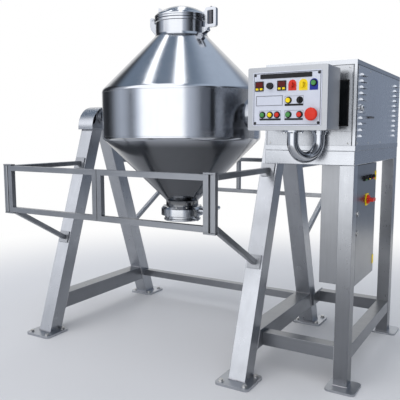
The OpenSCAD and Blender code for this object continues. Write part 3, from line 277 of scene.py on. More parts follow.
# Building meshes
class Shape:
    """Collects solids in the machine's millimetres into one mesh."""

    def __init__(self):
        self.bm = bmesh.new()

    def box(self, x0, x1, y0, y1, z0, z1):
        corners = [self.bm.verts.new(pt(x, y, z)) for x in (x0, x1) for y in (y0, y1) for z in (z0, z1)]
        for face in ((0, 1, 3, 2), (4, 6, 7, 5), (0, 4, 5, 1), (2, 3, 7, 6), (0, 2, 6, 4), (1, 5, 7, 3)):
            self.bm.faces.new([corners[i] for i in face])
        return self

    def turn(self, origin, axis, profile, count=32):
        """A closed turned solid: profile is (radius, distance along the axis) from axis to axis."""
        axis = Vector(axis).normalized()
        side = axis.orthogonal().normalized()
        other = axis.cross(side)
        base = Vector(origin)
        rings = []
        for radius, along in profile:
            centre = base + axis * along
            if radius < 1e-6:
                rings.append([self.bm.verts.new(pt(*centre))])
                continue
            ring = []
            for i in range(count):
                a = 2 * math.pi * i / count
                at = centre + radius * (side * math.cos(a) + other * math.sin(a))
                ring.append(self.bm.verts.new(pt(*at)))
            rings.append(ring)
        for low, high in zip(rings, rings[1:]):
            for i in range(count):
                j = (i + 1) % count
                if len(low) == 1 and len(high) == 1:
                    break
                if len(low) == 1:
                    self.bm.faces.new([low[0], high[i], high[j]])
                elif len(high) == 1:
                    self.bm.faces.new([low[i], high[0], low[j]])
                else:
                    self.bm.faces.new([low[i], high[i], high[j], low[j]])
        return self

    def ring(self, origin, axis, profile, count=48):
        """A turned ring: its profile is closed and doesn't touch the axis."""
        return self.turn(origin, axis, list(profile) + [profile[0]], count)

    def rod(self, a, b, radius, count, chamfer=0.0):
        """A round bar from a to b, with chamfered ends if a chamfer is given."""
        a, b = Vector(a), Vector(b)
        length = (b - a).length
        if chamfer:
            shoulder = radius - chamfer
            side = [(shoulder, 0), (radius, chamfer), (radius, length - chamfer), (shoulder, length)]
        else:
            side = [(radius, 0), (radius, length)]
        return self.turn(a, b - a, [(0, 0)] + side + [(0, length)], count)

    def dome(self, at, axis, radius, height, count=20):
        """A low round head."""
        angles = [math.radians(degrees) for degrees in (0, 25, 50, 72)]
        steps = [(radius * math.cos(a), height * math.sin(a)) for a in angles]
        return self.turn(at, axis, [(0, 0)] + steps + [(0, height)], count)

    def bead(self, points, radius, count=6, ripple=0.25, pitch=5.0):
        """A weld bead: a thin tube with ripples along a line of straight pieces."""
        points = [Vector(q) for q in points]
        for a, b in zip(points, points[1:]):
            length = (b - a).length
            steps = max(2, int(length / pitch))
            profile = [(0, 0)]
            for i in range(steps + 1):
                swell = 1 + ripple * (0.5 if i % 2 else -0.5)
                profile.append((radius * swell, length * i / steps))
            profile.append((0, length))
            self.turn(a, b - a, profile, count)
        return self

    def outline(self, points, axis, low, high):
        """A prism: an outline in the plane across `axis`, from low to high."""
        def at(u, v, w):
            return {"x": (w, u, v), "y": (u, w, v), "z": (u, v, w)}[axis]
        a = [self.bm.verts.new(pt(*at(u, v, low))) for u, v in points]
        b = [self.bm.verts.new(pt(*at(u, v, high))) for u, v in points]
        self.bm.faces.new(a)
        self.bm.faces.new(b)
        for i in range(len(points)):
            j = (i + 1) % len(points)
            self.bm.faces.new([a[i], a[j], b[j], b[i]])
        return self


BEVEL_ANGLE = 35.0
FLAT_WEIGHT = 80


def finish_mesh(obj, material, bevel=0.0, smooth=30.0, weighted=True):
    """Gives a mesh its material, rounded edges `bevel` millimetres wide and clean shading."""
    mesh = obj.data
    mesh.materials.clear()
    mesh.materials.append(material)
    mesh.polygons.foreach_set("use_smooth", [True] * len(mesh.polygons))
    mesh.set_sharp_from_angle(angle=math.radians(smooth))
    if bevel:
        edge = obj.modifiers.new("edges", "BEVEL")
        edge.width = bevel * MM
        edge.segments = 2
        edge.limit_method = "ANGLE"
        edge.angle_limit = math.radians(BEVEL_ANGLE)
        edge.miter_outer = "MITER_ARC"
    if weighted:
        flat = obj.modifiers.new("flat", "WEIGHTED_NORMAL")
        flat.keep_sharp = True
        flat.weight = FLAT_WEIGHT


def new_object(name, bm):
    """An object in the scene from a bmesh, which is freed."""
    mesh = bpy.data.meshes.new(name)
    bm.to_mesh(mesh)
    bm.free()
    obj = bpy.data.objects.new(name, mesh)
    scene.collection.objects.link(obj)
    return obj


def piece(name, shape, body, material, bevel=0.0, replaces=(), **more):
    """A new piece that rides on a body, and may stand for CAD nodes."""
    bmesh.ops.recalc_face_normals(shape.bm, faces=shape.bm.faces)
    obj = new_object(name, shape.bm)
    finish_mesh(obj, material, bevel, **more)
    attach(obj, body)
    if replaces:
        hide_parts(*replaces)


MERGE_DISTANCE = 2e-5
FLAT_ANGLE = 0.6


def dress(node, material, bevel):
    """Stands for a CAD node with the same solids, whose edges are rounded as on real tube and sheet."""
    bm = bmesh.new()
    bm.from_mesh(frame["nodes"][node].data)
    bmesh.ops.remove_doubles(bm, verts=bm.verts, dist=MERGE_DISTANCE)
    bmesh.ops.dissolve_limit(bm, angle_limit=math.radians(FLAT_ANGLE), verts=bm.verts, edges=bm.edges)
    obj = new_object(node + "_finish", bm)
    finish_mesh(obj, material, bevel)
    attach(obj, BODY_OF[node])
    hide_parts(node)


def paint(material, *nodes):
    """A better material on CAD nodes whose shape stays."""
    for node in nodes:
        mesh = frame["nodes"][node].data
        mesh.materials.clear()
        mesh.materials.append(material)


# Frame, stand and guard
for node, material, bevel in (
    ("legs", SATIN_V, 7), ("low_beams", SATIN_Y, 7), ("foot_plates", PLATE_STEEL, 2.0),
    ("seat_plates", PLATE_STEEL, 1.5), ("hoods", SHEET, 1.0), ("stand_posts", POST, 6),
    ("stand_rails", SATIN_X, 5), ("base_tray", SHEET_FLAT, 3.0), ("cabinet", SHEET, 4.0),
    ("front_cover", COVER_SHEET, 1.0), ("ebox", BOX_STEEL, 2.0), ("ebox_door", BOX_STEEL, 2.0),
    ("guard_posts", GUARD_Z, 3.5), ("guard_arms", GUARD_Y, 3.5), ("guard_struts", GUARD_Y, 3.5),
    ("guard_brackets", GUARD_Z, 1.2), ("rear_rails", GUARD_X, 3.5), ("gate_left", GUARD_X, 3.5),
    ("gate_right", GUARD_X, 3.5), ("gate_hinges", GUARD_Z, 1.2),
    ("panel_box", ENCLOSURE, 4.0), ("panel_plate", FACEPLATE, 0.7),
):
    dress(node, material, bevel)

paint(CAST, "bearings")
paint(ZINC, "anchor_bolts", "door_latch_upper", "door_latch_lower")
paint(SIDE_SHEET, "louvre_panel")
paint(MOTOR, "gearmotor")
paint(GEAR_GREY, "ebox_gear")
paint(POLISHED, "swivel_collar", "swivel_pipe", "trunnions", "charge_neck", "lid", "clamp_frame",
      "valve_body", "outlet_ring", "valve_disc")
paint(DARK_STEEL, "clamp_barrel")
paint(BLACK, "speed_knob", "selector_black")
paint(RED, "selector_red", "lamp_red", "button_red", "estop")
paint(YELLOW, "selector_yellow", "lamp_yellow", "button_yellow", "key_1", "key_2", "key_3", "key_4")
paint(GREEN, "lamp_green", "button_green", "button_blue")

# Vessel
AXIS_Z = 1460.0
VESSEL_R = 525.0
BAND_H = 310.0
SHELL_T = 5.0
KNUCKLE_R = 35.0
CHARGE_R = 170.0
OUTLET_R = 110.0
OUTLET_H = 34.0
NECK_Z = AXIS_Z + BAND_H / 2 + VESSEL_R - CHARGE_R
OUTLET_Z = AXIS_Z - BAND_H / 2 - (VESSEL_R - OUTLET_R)
KNUCKLE_T = KNUCKLE_R * math.tan(math.radians(22.5))


def knuckle(side, radius, steps=8):
    """Points of the rounded turn between band and cone, from the band outwards."""
    for i in range(steps + 1):
        a = math.radians(45.0 * i / steps)
        yield (VESSEL_R - KNUCKLE_R + radius * math.cos(a),
               AXIS_Z + side * (BAND_H / 2 - KNUCKLE_T + radius * math.sin(a)))


def shell_outline():
    """The shell's profile: outside from the outlet up, then inside back down."""
    inner = math.sqrt(2) * SHELL_T - SHELL_T
    out = [(OUTLET_R, OUTLET_Z - OUTLET_H), (OUTLET_R, OUTLET_Z - 6), (OUTLET_R + 3, OUTLET_Z + 3)]
    out += list(knuckle(-1, KNUCKLE_R))[::-1] + list(knuckle(1, KNUCKLE_R))
    out += [(CHARGE_R, NECK_Z), (CHARGE_R - SHELL_T, NECK_Z), (CHARGE_R - SHELL_T, NECK_Z - inner)]
    out += list(knuckle(1, KNUCKLE_R - SHELL_T))[::-1] + list(knuckle(-1, KNUCKLE_R - SHELL_T))
    out += [(OUTLET_R - SHELL_T, OUTLET_Z + inner), (OUTLET_R - SHELL_T, OUTLET_Z - OUTLET_H)]
    return out


UP = (0, 0, 1)
piece("vessel_shell", Shape().ring((0, 0, 0), UP, shell_outline(), 192), "vessel", VESSEL,
      replaces=("shell",), smooth=25.0)

# Ground seams beside the band's knuckles, and the fillet at the neck's foot
SEAM_Z = BAND_H / 2 - KNUCKLE_T - 3
SEAM_PROFILE = [(VESSEL_R - 1, -2.5), (VESSEL_R + 0.7, -1), (VESSEL_R + 0.7, 1), (VESSEL_R - 1, 2.5)]
NECK_FILLET = [(CHARGE_R - 2, -3), (CHARGE_R + 7, -6), (CHARGE_R + 3.5, 1), (CHARGE_R + 0.8, 8),
               (CHARGE_R - 2, 8)]
seams = Shape()
for side in (1, -1):
    seams.ring((0, 0, AXIS_Z + side * SEAM_Z), UP, SEAM_PROFILE, 160)
seams.ring((0, 0, NECK_Z), UP, NECK_FILLET, 96)
piece("vessel_seams", seams, "vessel", POLISHED)

# Control panel
PANEL_X, FRONT_Y, PANEL_C = 1000.0, -645.0, 1503.0
PLATE_W, PLATE_H = 347.0, 256.0
ROW = [PLATE_H * share for share in (0.242, -0.031, -0.293)]
COLUMN_SHARE = {"display_1": -0.398, "knob": -0.236, "display_2": -0.066, "red": 0.087, "yellow": 0.242,
                "blue": 0.389, "amber": 0.035, "black": 0.196, "stop": 0.378}
COLUMN = {name: share * PLATE_W for name, share in COLUMN_SHARE.items()}
LAMP_ROW = [PLATE_W * share for share in (-0.349, -0.236, -0.13, 0.037, 0.196)]
BLUE_LIFT = 6.0
PLATE_AXIS = (0, -1, 0)


def on_plate(x, z, depth=0.0):
    """A point on the front plate: across, up and out of it."""
    return (PANEL_X + x, FRONT_Y - depth, PANEL_C + z)


def rounded(cx, cz, w, h, r, steps=5):
    """The outline of a rounded rectangle."""
    points = []
    for k, (sx, sz) in enumerate(((1, 1), (-1, 1), (-1, -1), (1, -1))):
        for i in range(steps + 1):
            a = math.radians(90 * k + 90 * i / steps)
            points.append((cx + sx * (w / 2 - r) + r * math.cos(a), cz + sz * (h / 2 - r) + r * math.sin(a)))
    return points


def slab(shape, x, z, w, h, r, low, high):
    """A thin rounded plate on the front plate."""
    return shape.outline(rounded(PANEL_X + x, PANEL_C + z, w, h, r), "y", FRONT_Y - high, FRONT_Y - low)


def arch_reach(w, h, lift, a):
    """From the middle of the hole to the edge of a plate with a round top, in direction a."""
    c, up = math.cos(a), math.sin(a)
    round_z = h / 2 - w / 2 - lift
    side = w / 2 / max(abs(c), 1e-6)
    if side * up > round_z:
        return up * round_z + math.sqrt((w / 2) ** 2 - (round_z * c) ** 2)
    return min(side, (h / 2 + lift) / -up) if up < 0 else side


ARCH_T, ARCH_HOLE = 1.5, 15.2


def arch(shape, x, w, h, lift=0.0, count=48):
    """A plate with a round top and a hole, `lift` above its middle, for the bezel."""
    low = math.atan2(h / 2 + lift, w / 2)
    angles = sorted([2 * math.pi * i / count for i in range(count)] + [2 * math.pi - low, math.pi + low])
    loops = []
    for depth in (0.0, ARCH_T):
        for inner in (True, False):
            loop = []
            for a in angles:
                r = ARCH_HOLE if inner else arch_reach(w, h, lift, a)
                at = on_plate(x + r * math.cos(a), ROW[0] + lift + r * math.sin(a), depth)
                loop.append(shape.bm.verts.new(pt(*at)))
            loops.append(loop)
    inner_low, outer_low, inner_high, outer_high = loops
    around = (inner_low, outer_low, outer_high, inner_high, inner_low)
    for one, two in zip(around, around[1:]):
        for i in range(len(angles)):
            j = (i + 1) % len(angles)
            shape.bm.faces.new([one[i], two[i], two[j], one[j]])
    return shape


def frame_line(shape, x, z, w, h, line, height):
    """Four thin bars that outline a field of the plate."""
    for sx in (-1, 1):
        slab(shape, x + sx * (w - line) / 2, z, line, h, line * 0.3, 0, height)
    for sz in (-1, 1):
        slab(shape, x, z + sz * (h - line) / 2, w, line, line * 0.3, 0, height)


def bezel(shape, x, z, outer=15.0, inner=11.3, height=6.0):
    """A threaded collar with a rounded lip."""
    lip = 1.6
    profile = [(inner, 0), (outer + 1.5, 0), (outer + 1.5, 1.2), (outer, lip), (outer, height - lip),
               (outer - lip, height), (inner + 0.6, height), (inner, height - 0.8)]
    return shape.ring(on_plate(x, z), PLATE_AXIS, profile, 32)


# Each group of buttons: its middle across, its row and its width
GROUPS = ((0.115 * PLATE_W, ROW[1], 0.265 * PLATE_W), (-0.233 * PLATE_W, ROW[2], 0.317 * PLATE_W),
          (0.115 * PLATE_W, ROW[2], 0.265 * PLATE_W))
LABEL_T, TITLE_H, BAR_H, BAR_DROP = 1.5, 22.0, 8.0, 22.0
SCREW_INSET = 14.0
SCREW_PROFILE = [(1.4, 0), (6.2, 0), (6.2, 1.8), (4.6, 3), (1.4, 3)]
labels = Shape()
TITLE_X, TITLE_Z, TITLE_W = -0.012 * PLATE_W, 0.418 * PLATE_H, 0.75 * PLATE_W
slab(labels, TITLE_X, TITLE_Z, TITLE_W, TITLE_H, 4, 0, LABEL_T)
for x, z, w in GROUPS:
    slab(labels, x, z - BAR_DROP, w, BAR_H, 1.5, 0, LABEL_T)
for sx in (-1, 1):
    for sz in (-1, 1):
        at = on_plate(sx * (PLATE_W / 2 - SCREW_INSET), sz * (PLATE_H / 2 - SCREW_INSET))
        labels.ring(at, PLATE_AXIS, SCREW_PROFILE, 20)
piece("panel_labels", labels, "panel_arm", BLACK, replaces=("panel_trim",))

BORDER_INSET, FIELD_H, GROUP_H = 10.0, 47.0, 38.0
borders = Shape()
frame_line(borders, 0, 0, PLATE_W - BORDER_INSET, PLATE_H - BORDER_INSET, 2.8, 0.6)
frame_line(borders, -0.249 * PLATE_W, ROW[1], 0.395 * PLATE_W, FIELD_H, 2, 1.5)
for x, z, w in GROUPS:
    frame_line(borders, x, z + 1, w, GROUP_H, 1.2, 0.5)
piece("panel_outlines", borders, "panel_arm", LINE_GREY)

# Displays: a case with a pane above, and two bays for the keys below
CASE_W, CASE_H, CASE_T, PANE_DEPTH = 44.0, 32.0, 5.0, 4.0
PANE_Z = ROW[0] + 7
cases, panes = Shape(), Shape()
for name in ("display_1", "display_2"):
    x = COLUMN[name]
    slab(cases, x, PANE_Z, CASE_W, CASE_H, 4, 0, PANE_DEPTH)
    frame_line(cases, x, PANE_Z, CASE_W, CASE_H, 4, CASE_T)
    slab(cases, x, ROW[0] - 21.5, CASE_W, 4, 1.5, 0, CASE_T)
    for dx in (-20.5, 0, 20.5):
        slab(cases, x + dx, ROW[0] - 14, 3, 13, 0.8, 0, CASE_T)
    slab(panes, x, PANE_Z, CASE_W - 8, CASE_H - 8, 1.5, PANE_DEPTH, PANE_DEPTH + 0.6)
piece("display_cases", cases, "panel_arm", BLACK)
piece("display_panes", panes, "panel_arm", DISPLAY)

piece("plate_red", arch(Shape(), COLUMN["red"], 40, 50), "panel_arm", RED, 0.4)
piece("plate_yellow", arch(Shape(), COLUMN["yellow"], 42, 52), "panel_arm", YELLOW, 0.4)
piece("plate_blue", arch(Shape(), COLUMN["blue"], 40, 52, BLUE_LIFT), "panel_arm", BLUE, 0.4)

collars = Shape()
bezel(collars, COLUMN["knob"], ROW[0])
bezel(collars, COLUMN["blue"], ROW[0] + BLUE_LIFT)
for name in ("amber", "black"):
    bezel(collars, COLUMN[name], ROW[1])
for x in LAMP_ROW:
    bezel(collars, x, ROW[2])
bezel(collars, COLUMN["stop"], ROW[2], outer=22.0, inner=16.3, height=10.0)
piece("bezels_black", collars, "panel_arm", BLACK, replaces=("bezels",))
piece("bezel_red", bezel(Shape(), COLUMN["red"], ROW[0]), "panel_arm", RED)
piece("bezel_yellow", bezel(Shape(), COLUMN["yellow"], ROW[0]), "panel_arm", YELLOW)

# Painted shadow on the two coloured selectors: dark dots along an arc on the right of each knob, where its
# shadow falls
SHADOW_ARC_R, SHADOW_ARC_LOW, SHADOW_ARC_HIGH = 9.5, 8.0, 8.6
for name, body in (("red", "red_selector"), ("yellow", "yellow_selector")):
    shadow_arc = Shape()
    for degrees in range(-60, 61, 20):
        a = math.radians(degrees)
        x, z = COLUMN[name] + SHADOW_ARC_R * math.cos(a), ROW[0] + SHADOW_ARC_R * math.sin(a)
        shadow_arc.rod(on_plate(x, z, SHADOW_ARC_LOW), on_plate(x, z, SHADOW_ARC_HIGH), 1.3, 8)
    piece("painted_shadow_" + name, shadow_arc, body, BLACK)

# Cabinet details
CAB_FRONT, STAND_X = -375.0, 1260.0
FRONT_AXIS, SIDE_AXIS = (0, -1, 0), (1, 0, 0)


def edge_bars(u0, u1, v0, v1, width):
    """The four bars along the inside of a rectangle's edge."""
    return ((u0, u0 + width, v0, v1), (u1 - width, u1, v0, v1),
            (u0, u1, v0, v0 + width), (u0, u1, v1 - width, v1))


# The window's clear opening, with the seal on its edge and the glass in it
WIN_X, WIN_Z = (1145.0, 1225.0), (1374.0, 1602.0)
SEAL_W, SEAL_FRONT, GLASS_FRONT, GLASS_BACK = 5.0, 7.5, 6.0, 4.0
glass = Shape().box(WIN_X[0] + 1, WIN_X[1] - 1, CAB_FRONT - GLASS_FRONT, CAB_FRONT - GLASS_BACK,
                    WIN_Z[0] + 1, WIN_Z[1] - 1)
piece("window_glass", glass, "frame", GLASS)
seal = Shape()
for x0, x1, z0, z1 in edge_bars(*WIN_X, *WIN_Z, SEAL_W):
    seal.box(x0, x1, CAB_FRONT - SEAL_FRONT, CAB_FRONT - GLASS_BACK, z0, z1)
piece("window_seal", seal, "frame", RUBBER)

# Shadow gaps round the front cover and the side panel
COVER_X, SIDE_Y, COVER_Z = (784.0, 1245.0), (-364.0, 644.0), (1275.0, 1677.0)
GAP_W, GAP_T = 3.0, 1.2
gaps = Shape()
for x0, x1, z0, z1 in edge_bars(*COVER_X, *COVER_Z, GAP_W):
    gaps.box(x0, x1, CAB_FRONT - GAP_T, CAB_FRONT, z0, z1)
for y0, y1, z0, z1 in edge_bars(*SIDE_Y, *COVER_Z, GAP_W):
    gaps.box(STAND_X, STAND_X + GAP_T, y0, y1, z0, z1)
piece("panel_seams", gaps, "frame", RUBBER)

# Screws of the front cover, which has one less above, and of the side panel
SCREW_Z = (1290.0, 1662.0)
COVER_SCREWS = ((807, SCREW_Z), (930, SCREW_Z[:1]), (1050, SCREW_Z), (1225, SCREW_Z))
HEAD_R, HEAD_H = 5.0, 2.6
screws = Shape()
for x, heights in COVER_SCREWS:
    for z in heights:
        screws.dome((x, CAB_FRONT - 3, z), FRONT_AXIS, HEAD_R, HEAD_H)
for y in (-345, -120, 150, 625):
    for z in SCREW_Z:
        screws.dome((STAND_X + 2, y, z), SIDE_AXIS, HEAD_R, HEAD_H)
piece("cover_screws", screws, "frame", ZINC)

KNOB_Y, KNOB_Z = -347.0, 1465.0
KNOB_PROFILE = [(0, 0), (15, 0), (17, 4), (17, 14), (13, 19), (0, 20)]
handle = Shape()
handle.rod((STAND_X + 2, KNOB_Y, KNOB_Z), (STAND_X + 16, KNOB_Y, KNOB_Z), 9, 20, 1)
handle.turn((STAND_X + 14, KNOB_Y, KNOB_Z), SIDE_AXIS, KNOB_PROFILE, 28)
piece("side_knob", handle, "frame", POLISHED)

GRIP_Z, GRIP_Y, GRIP_LEGS = 1423.0, (-178.0, -106.0), (-166.0, -118.0)
grip = Shape()
for y in GRIP_LEGS:
    grip.rod((STAND_X + 2, y, GRIP_Z), (STAND_X + 18, y, GRIP_Z), 5, 14, 0.8)
grip.rod((STAND_X + 20, GRIP_Y[0], GRIP_Z), (STAND_X + 20, GRIP_Y[1], GRIP_Z), 6, 16, 1.5)
piece("side_grip", grip, "frame", DARK_STEEL)

# Electrical box details
ISO_Y, ISO_Z, LAMP_Z = -104.0, 983.0, 1100.0
LAMP_Y = (-165.0, -90.0, -15.0)
LAMP_PROFILE = [(0, 0), (15, 0), (15, 3), (12, 4), (12, 9), (9, 10), (0, 10)]
SHADE_R, SHADE_X, SHADE_W, SHADE_T = 11.0, (8.0, 20.0), 4.4, 4.0
lamp_cases = Shape()
for y in LAMP_Y:
    lamp_cases.turn((STAND_X, y, LAMP_Z), SIDE_AXIS, LAMP_PROFILE, 28)
    for degrees in range(-10, 191, 20):
        a = math.radians(degrees)
        dy, z = SHADE_R * math.cos(a), LAMP_Z + SHADE_R * math.sin(a)
        y0, y1 = y + dy - SHADE_W / 2, y + dy + SHADE_W / 2
        lamp_cases.box(STAND_X + SHADE_X[0], STAND_X + SHADE_X[1], y0, y1, z, z + SHADE_T)
piece("lamp_cases", lamp_cases, "electrical_door", BLACK, replaces=("phase_lamps",))
for y, material, name in zip(LAMP_Y, (GREEN, YELLOW, RED), ("green", "yellow", "red")):
    lens = Shape().dome((STAND_X + 10, y, LAMP_Z - 2), SIDE_AXIS, 8.5, 7)
    piece("phase_lens_" + name, lens, "electrical_door", material)

SWITCH_PROFILE = [(0, 0), (24, 0), (24, 8), (21, 12), (0, 13)]
shield = Shape().outline(rounded(ISO_Y, ISO_Z, 50, 66, 7), "x", STAND_X, STAND_X + 4)
piece("isolator_plate", shield, "electrical_door", YELLOW, 0.8)
switch = Shape()
switch.turn((STAND_X + 5, ISO_Y, ISO_Z), SIDE_AXIS, SWITCH_PROFILE, 36)
switch.outline(rounded(ISO_Y, ISO_Z, 62, 18, 6), "x", STAND_X + 15, STAND_X + 42)
piece("isolator_grip", switch, "isolator_handle", RED, 1.6, replaces=("isolator",))

CAP_T, CAP_Y, CAP_H = 3.0, (70.0, 94.0), 52.0
caps = Shape()
for z in (1077, 589):
    caps.box(STAND_X - CAP_T, STAND_X + CAP_T, *CAP_Y, z, z + CAP_H)
piece("hinge_caps", caps, "electrical_door", YELLOW, 1.5)

# Discharge valve details
VALVE_TOP, VALVE_H, BOLT_CIRCLE_R, LID_Z = 856.0, 63.0, 128.0, 2069.0
BOLT_PROFILE = [(2.2, 0), (6.5, 0), (6.5, 11), (5.6, 12), (2.6, 12), (2.2, 8)]
OUTLET_SEAL = [(112, -1.5), (122, -1.5), (122, 2.0), (112, 2.0)]
LID_SEAL = [(168, 0.1), (174.5, 0.1), (174.5, 1.9), (168, 1.9)]
bolts = Shape()
for degrees in range(15, 360, 30):
    a = math.radians(degrees)
    at = (BOLT_CIRCLE_R * math.cos(a), BOLT_CIRCLE_R * math.sin(a), VALVE_TOP - 14)
    bolts.ring(at, UP, BOLT_PROFILE, 18)
piece("valve_screws", bolts, "vessel", ZINC)
piece("outlet_seal", Shape().ring((0, 0, VALVE_TOP - VALVE_H), UP, OUTLET_SEAL, 72), "vessel", RUBBER)
piece("lid_seal", Shape().ring((0, 0, LID_Z), UP, LID_SEAL, 96), "lid", RUBBER)

# Weld seams of the frame
FRAME_X, TUBE, FOOT_T = 725.0, 100.0, 15.0
SPREAD, LEG_TOP, SEAT_Z = 600.0, 132.0, 1368.0
BEAM_Z0, BEAM_Z1 = 145.0, 245.0
LEAN = (SPREAD - LEG_TOP) / SEAT_Z
LEG_W = TUBE * math.hypot(1, LEAN)
POST_W, POST_X0, POST_X1, PAD_T = 75.0, 1185.0, 1260.0, 12.0
POST_Y = (-337.5, 617.5)
RAIL_Z0, RAIL_Z1 = 150.0, 225.0
RAIL_HALF, BEAD_HALF = 33.0, 35.5
LEG_BEAD, FOOT_BEAD, POST_BEAD, RAIL_BEAD = 3.2, 3.4, 3.0, 2.6


def foot_weld(shape, x0, x1, y0, y1, z, radius):
    """A weld bead round the foot of an upright tube."""
    return shape.bead([(x0, y0, z), (x1, y0, z), (x1, y1, z), (x0, y1, z), (x0, y0, z)], radius)


welds = Shape()
for sx in (-1, 1):
    for sy in (-1, 1):
        x0, x1 = sx * FRAME_X - TUBE / 2, sx * FRAME_X + TUBE / 2
        ends = [(sy * (SPREAD - z * LEAN - LEG_W), z) for z in (BEAM_Z0, BEAM_Z1)]
        for x in (x0, x1):
            welds.bead([(x, y, z) for y, z in ends], LEG_BEAD)
        for y, z in ends:
            welds.bead([(x0, y, z), (x1, y, z)], LEG_BEAD)
        outer = SPREAD - FOOT_T * LEAN
        foot_weld(welds, x0, x1, sy * outer, sy * (outer - LEG_W), FOOT_T + 1, FOOT_BEAD)
for y in POST_Y:
    foot_weld(welds, POST_X0, POST_X1, y - POST_W / 2, y + POST_W / 2, PAD_T + 1, POST_BEAD)
    for z in (RAIL_Z0, RAIL_Z1):
        welds.bead([(POST_X0, y - RAIL_HALF, z), (POST_X0, y + RAIL_HALF, z)], RAIL_BEAD)
    for dy in (-BEAD_HALF, BEAD_HALF):
        welds.bead([(POST_X0, y + dy, RAIL_Z0), (POST_X0, y + dy, RAIL_Z1)], RAIL_BEAD)
piece("frame_welds", welds, "frame", WELD, weighted=False)

# A round floor that turns white before its rim
FLOOR_R, FLOOR_DROP = 4.8, 0.0005
FADE_FROM, FADE_TO = 1.9, 4.4
FLOOR_COLOUR = (0.72, 0.72, 0.73, 1)
WHITE = (1.0, 1.0, 1.0)
rim = []
for degrees in range(0, 360, 3):
    a = math.radians(degrees)
    rim.append((FLOOR_R * math.cos(a), FLOOR_R * math.sin(a), 0))
floor_mesh = bpy.data.meshes.new("floor")
floor_mesh.from_pydata(rim, [], [tuple(range(len(rim)))])
floor = bpy.data.objects.new("floor", floor_mesh)
floor.location.z = -FLOOR_DROP
scene.collection.objects.link(floor)
floor_material, n = new_material("pale_floor")
out = n.add("ShaderNodeOutputMaterial")
diffuse = n.add("ShaderNodeBsdfDiffuse")
diffuse.inputs["Color"].default_value = FLOOR_COLOUR
white = n.add("ShaderNodeEmission")
white.inputs["Color"].default_value = (*WHITE, 1)
path = n.add("ShaderNodeLightPath")
place = n.add("ShaderNodeTexCoord").outputs["Object"]
length = n.add("ShaderNodeVectorMath", operation="LENGTH")
n.link(place, length.inputs[0])
far = n.range(length.outputs["Value"], FADE_FROM, FADE_TO, 0.0, 1.0, True)
seen = n.math("MAXIMUM", path.outputs["Is Camera Ray"],
              n.math("MAXIMUM", path.outputs["Is Glossy Ray"], path.outputs["Is Transmission Ray"]))
mixed = n.add("ShaderNodeMixShader")
n.link(n.math("MULTIPLY", far, seen), mixed.inputs[0])
n.link(diffuse.outputs[0], mixed.inputs[1])
n.link(white.outputs[0], mixed.inputs[2])
n.link(mixed.outputs[0], out.inputs[0])
floor_mesh.materials.append(floor_material)

# The studio: a soft front window, two long ceiling lights, grey walls and a white backdrop
WALL_TOP = 2.6
CEILING_LEFT, CEILING_RIGHT = (0.26, 0.33, 0.43), (0.66, 0.76, 0.90)
STRIP_LIGHT = (3.4, 3.4, 3.4)
STRIPS = ((-0.475, -0.375), (-0.095, 0.035))
STRIP_ALONG = (-1.3, 0.9)
KEY_LIGHT = (2.1, 2.1, 2.15)
PLAIN_SHARE, PLAIN_LIGHT = 0.5, (0.62, 0.64, 0.68)
world = bpy.data.worlds.new("studio")
scene.world = world
world.use_nodes = True
n = Nodes(world.node_tree)
out = n.add("ShaderNodeOutputWorld")
direction = n.add("ShaderNodeTexCoord").outputs["Generated"]
# A direction's shares towards the fixed right side, front and top of this room
right = n.dot(direction, (math.cos(CAM_TURN), math.sin(CAM_TURN), 0))
near = n.dot(direction, (math.sin(CAM_TURN), -math.cos(CAM_TURN), 0))
up = n.dot(direction, (0, 0, 1))
around = n.math("ADD", n.math("DIVIDE", n.math("ARCTAN2", right, near), 2 * math.pi), 0.5)


def wall(angle, value, cool=1.0):
    """A stop of the wall's ramp: degrees from the front, a brightness up to WALL_TOP and its blueness."""
    v = value / WALL_TOP
    return (angle / 360 + 0.5, (v * (1 - 0.10 * cool), v * (1 - 0.03 * cool), v * (1 + 0.10 * cool)))


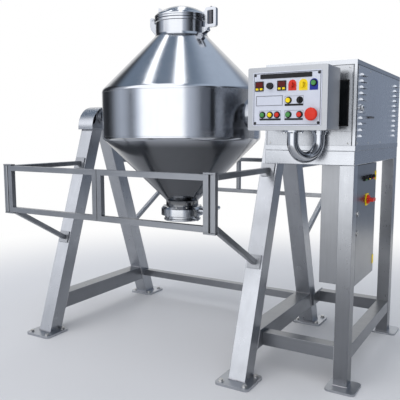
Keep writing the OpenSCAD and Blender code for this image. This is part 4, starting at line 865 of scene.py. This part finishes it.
walls = n.ramp(around, [
    wall(-180, 1.0, 0), wall(-158, 0.9, 0), wall(-150, 0.08), wall(-126, 0.03), wall(-114, 0.15),
    wall(-104, 0.50), wall(-92, 0.80), wall(-82, 0.66), wall(-73, 0.32), wall(-67, 0.60), wall(-61, 1.3),
    wall(-54, 2.2, 0), wall(3, 2.2, 0), wall(9, 0.92), wall(17, 0.74), wall(27, 0.36), wall(36, 0.12),
    wall(45, 0.03), wall(52, 0.03), wall(55, 0.75), wall(60, 0.75), wall(64, 0.03), wall(78, 0.02),
    wall(100, 0.34, 1.8), wall(148, 0.36, 1.8), wall(158, 0.9, 0), wall(180, 1.0, 0)])
bright_walls = n.add("ShaderNodeVectorMath", operation="SCALE")
n.link(walls, bright_walls.inputs[0])
bright_walls.inputs["Scale"].default_value = WALL_TOP
safe_up = n.math("MAXIMUM", up, 0.05)
across = n.math("DIVIDE", right, safe_up)
along = n.math("DIVIDE", near, safe_up)


def band(value, low, high, soft):
    """One between low and high, and zero outside, with soft edges."""
    return n.math("MULTIPLY", n.range(value, low - soft, low + soft, 0, 1, True),
                  n.range(value, high - soft, high + soft, 1, 0, True))


strips = n.math("MAXIMUM", *[band(across, low, high, 0.02) for low, high in STRIPS])
strips = n.math("MULTIPLY", strips, band(along, *STRIP_ALONG, 0.1))
strips = n.math("MULTIPLY", strips, n.range(up, 0.45, 0.55, 0, 1, True))
ceiling = n.mix(n.range(across, 0.12, 0.42, 0, 1, True), CEILING_LEFT, CEILING_RIGHT)
ceiling = n.mix(strips, ceiling, STRIP_LIGHT)
upper = n.range(up, 0.52, 0.68, 0.0, 1.0, True)
studio = n.mix(upper, bright_walls.outputs[0], ceiling)
# A large soft light high in front on the left, which reaches lower at its far end
high = n.math("ADD", up, n.range(right, -0.86, -0.74, 0.2, 0.0, True))
key = n.math("MULTIPLY", n.range(high, 0.28, 0.44, 0, 1, True), n.range(near, 0.0, 0.16, 0, 1, True))
key = n.math("MULTIPLY", key, n.range(right, -0.12, 0.12, 1, 0, True))
studio = n.mix(key, studio, KEY_LIGHT)
path = n.add("ShaderNodeLightPath")
shown = n.math("MAXIMUM", path.outputs["Is Camera Ray"], path.outputs["Is Transmission Ray"])
# Diffuse light is the same studio at a plain level; metal sees it as it is
plain = n.mix(path.outputs["Is Diffuse Ray"], studio, n.mix(PLAIN_SHARE, studio, PLAIN_LIGHT))
background = n.add("ShaderNodeBackground")
n.link(n.mix(shown, plain, WHITE), background.inputs["Color"])
n.link(background.outputs[0], out.inputs[0])

scene.view_settings.view_transform = "Standard"
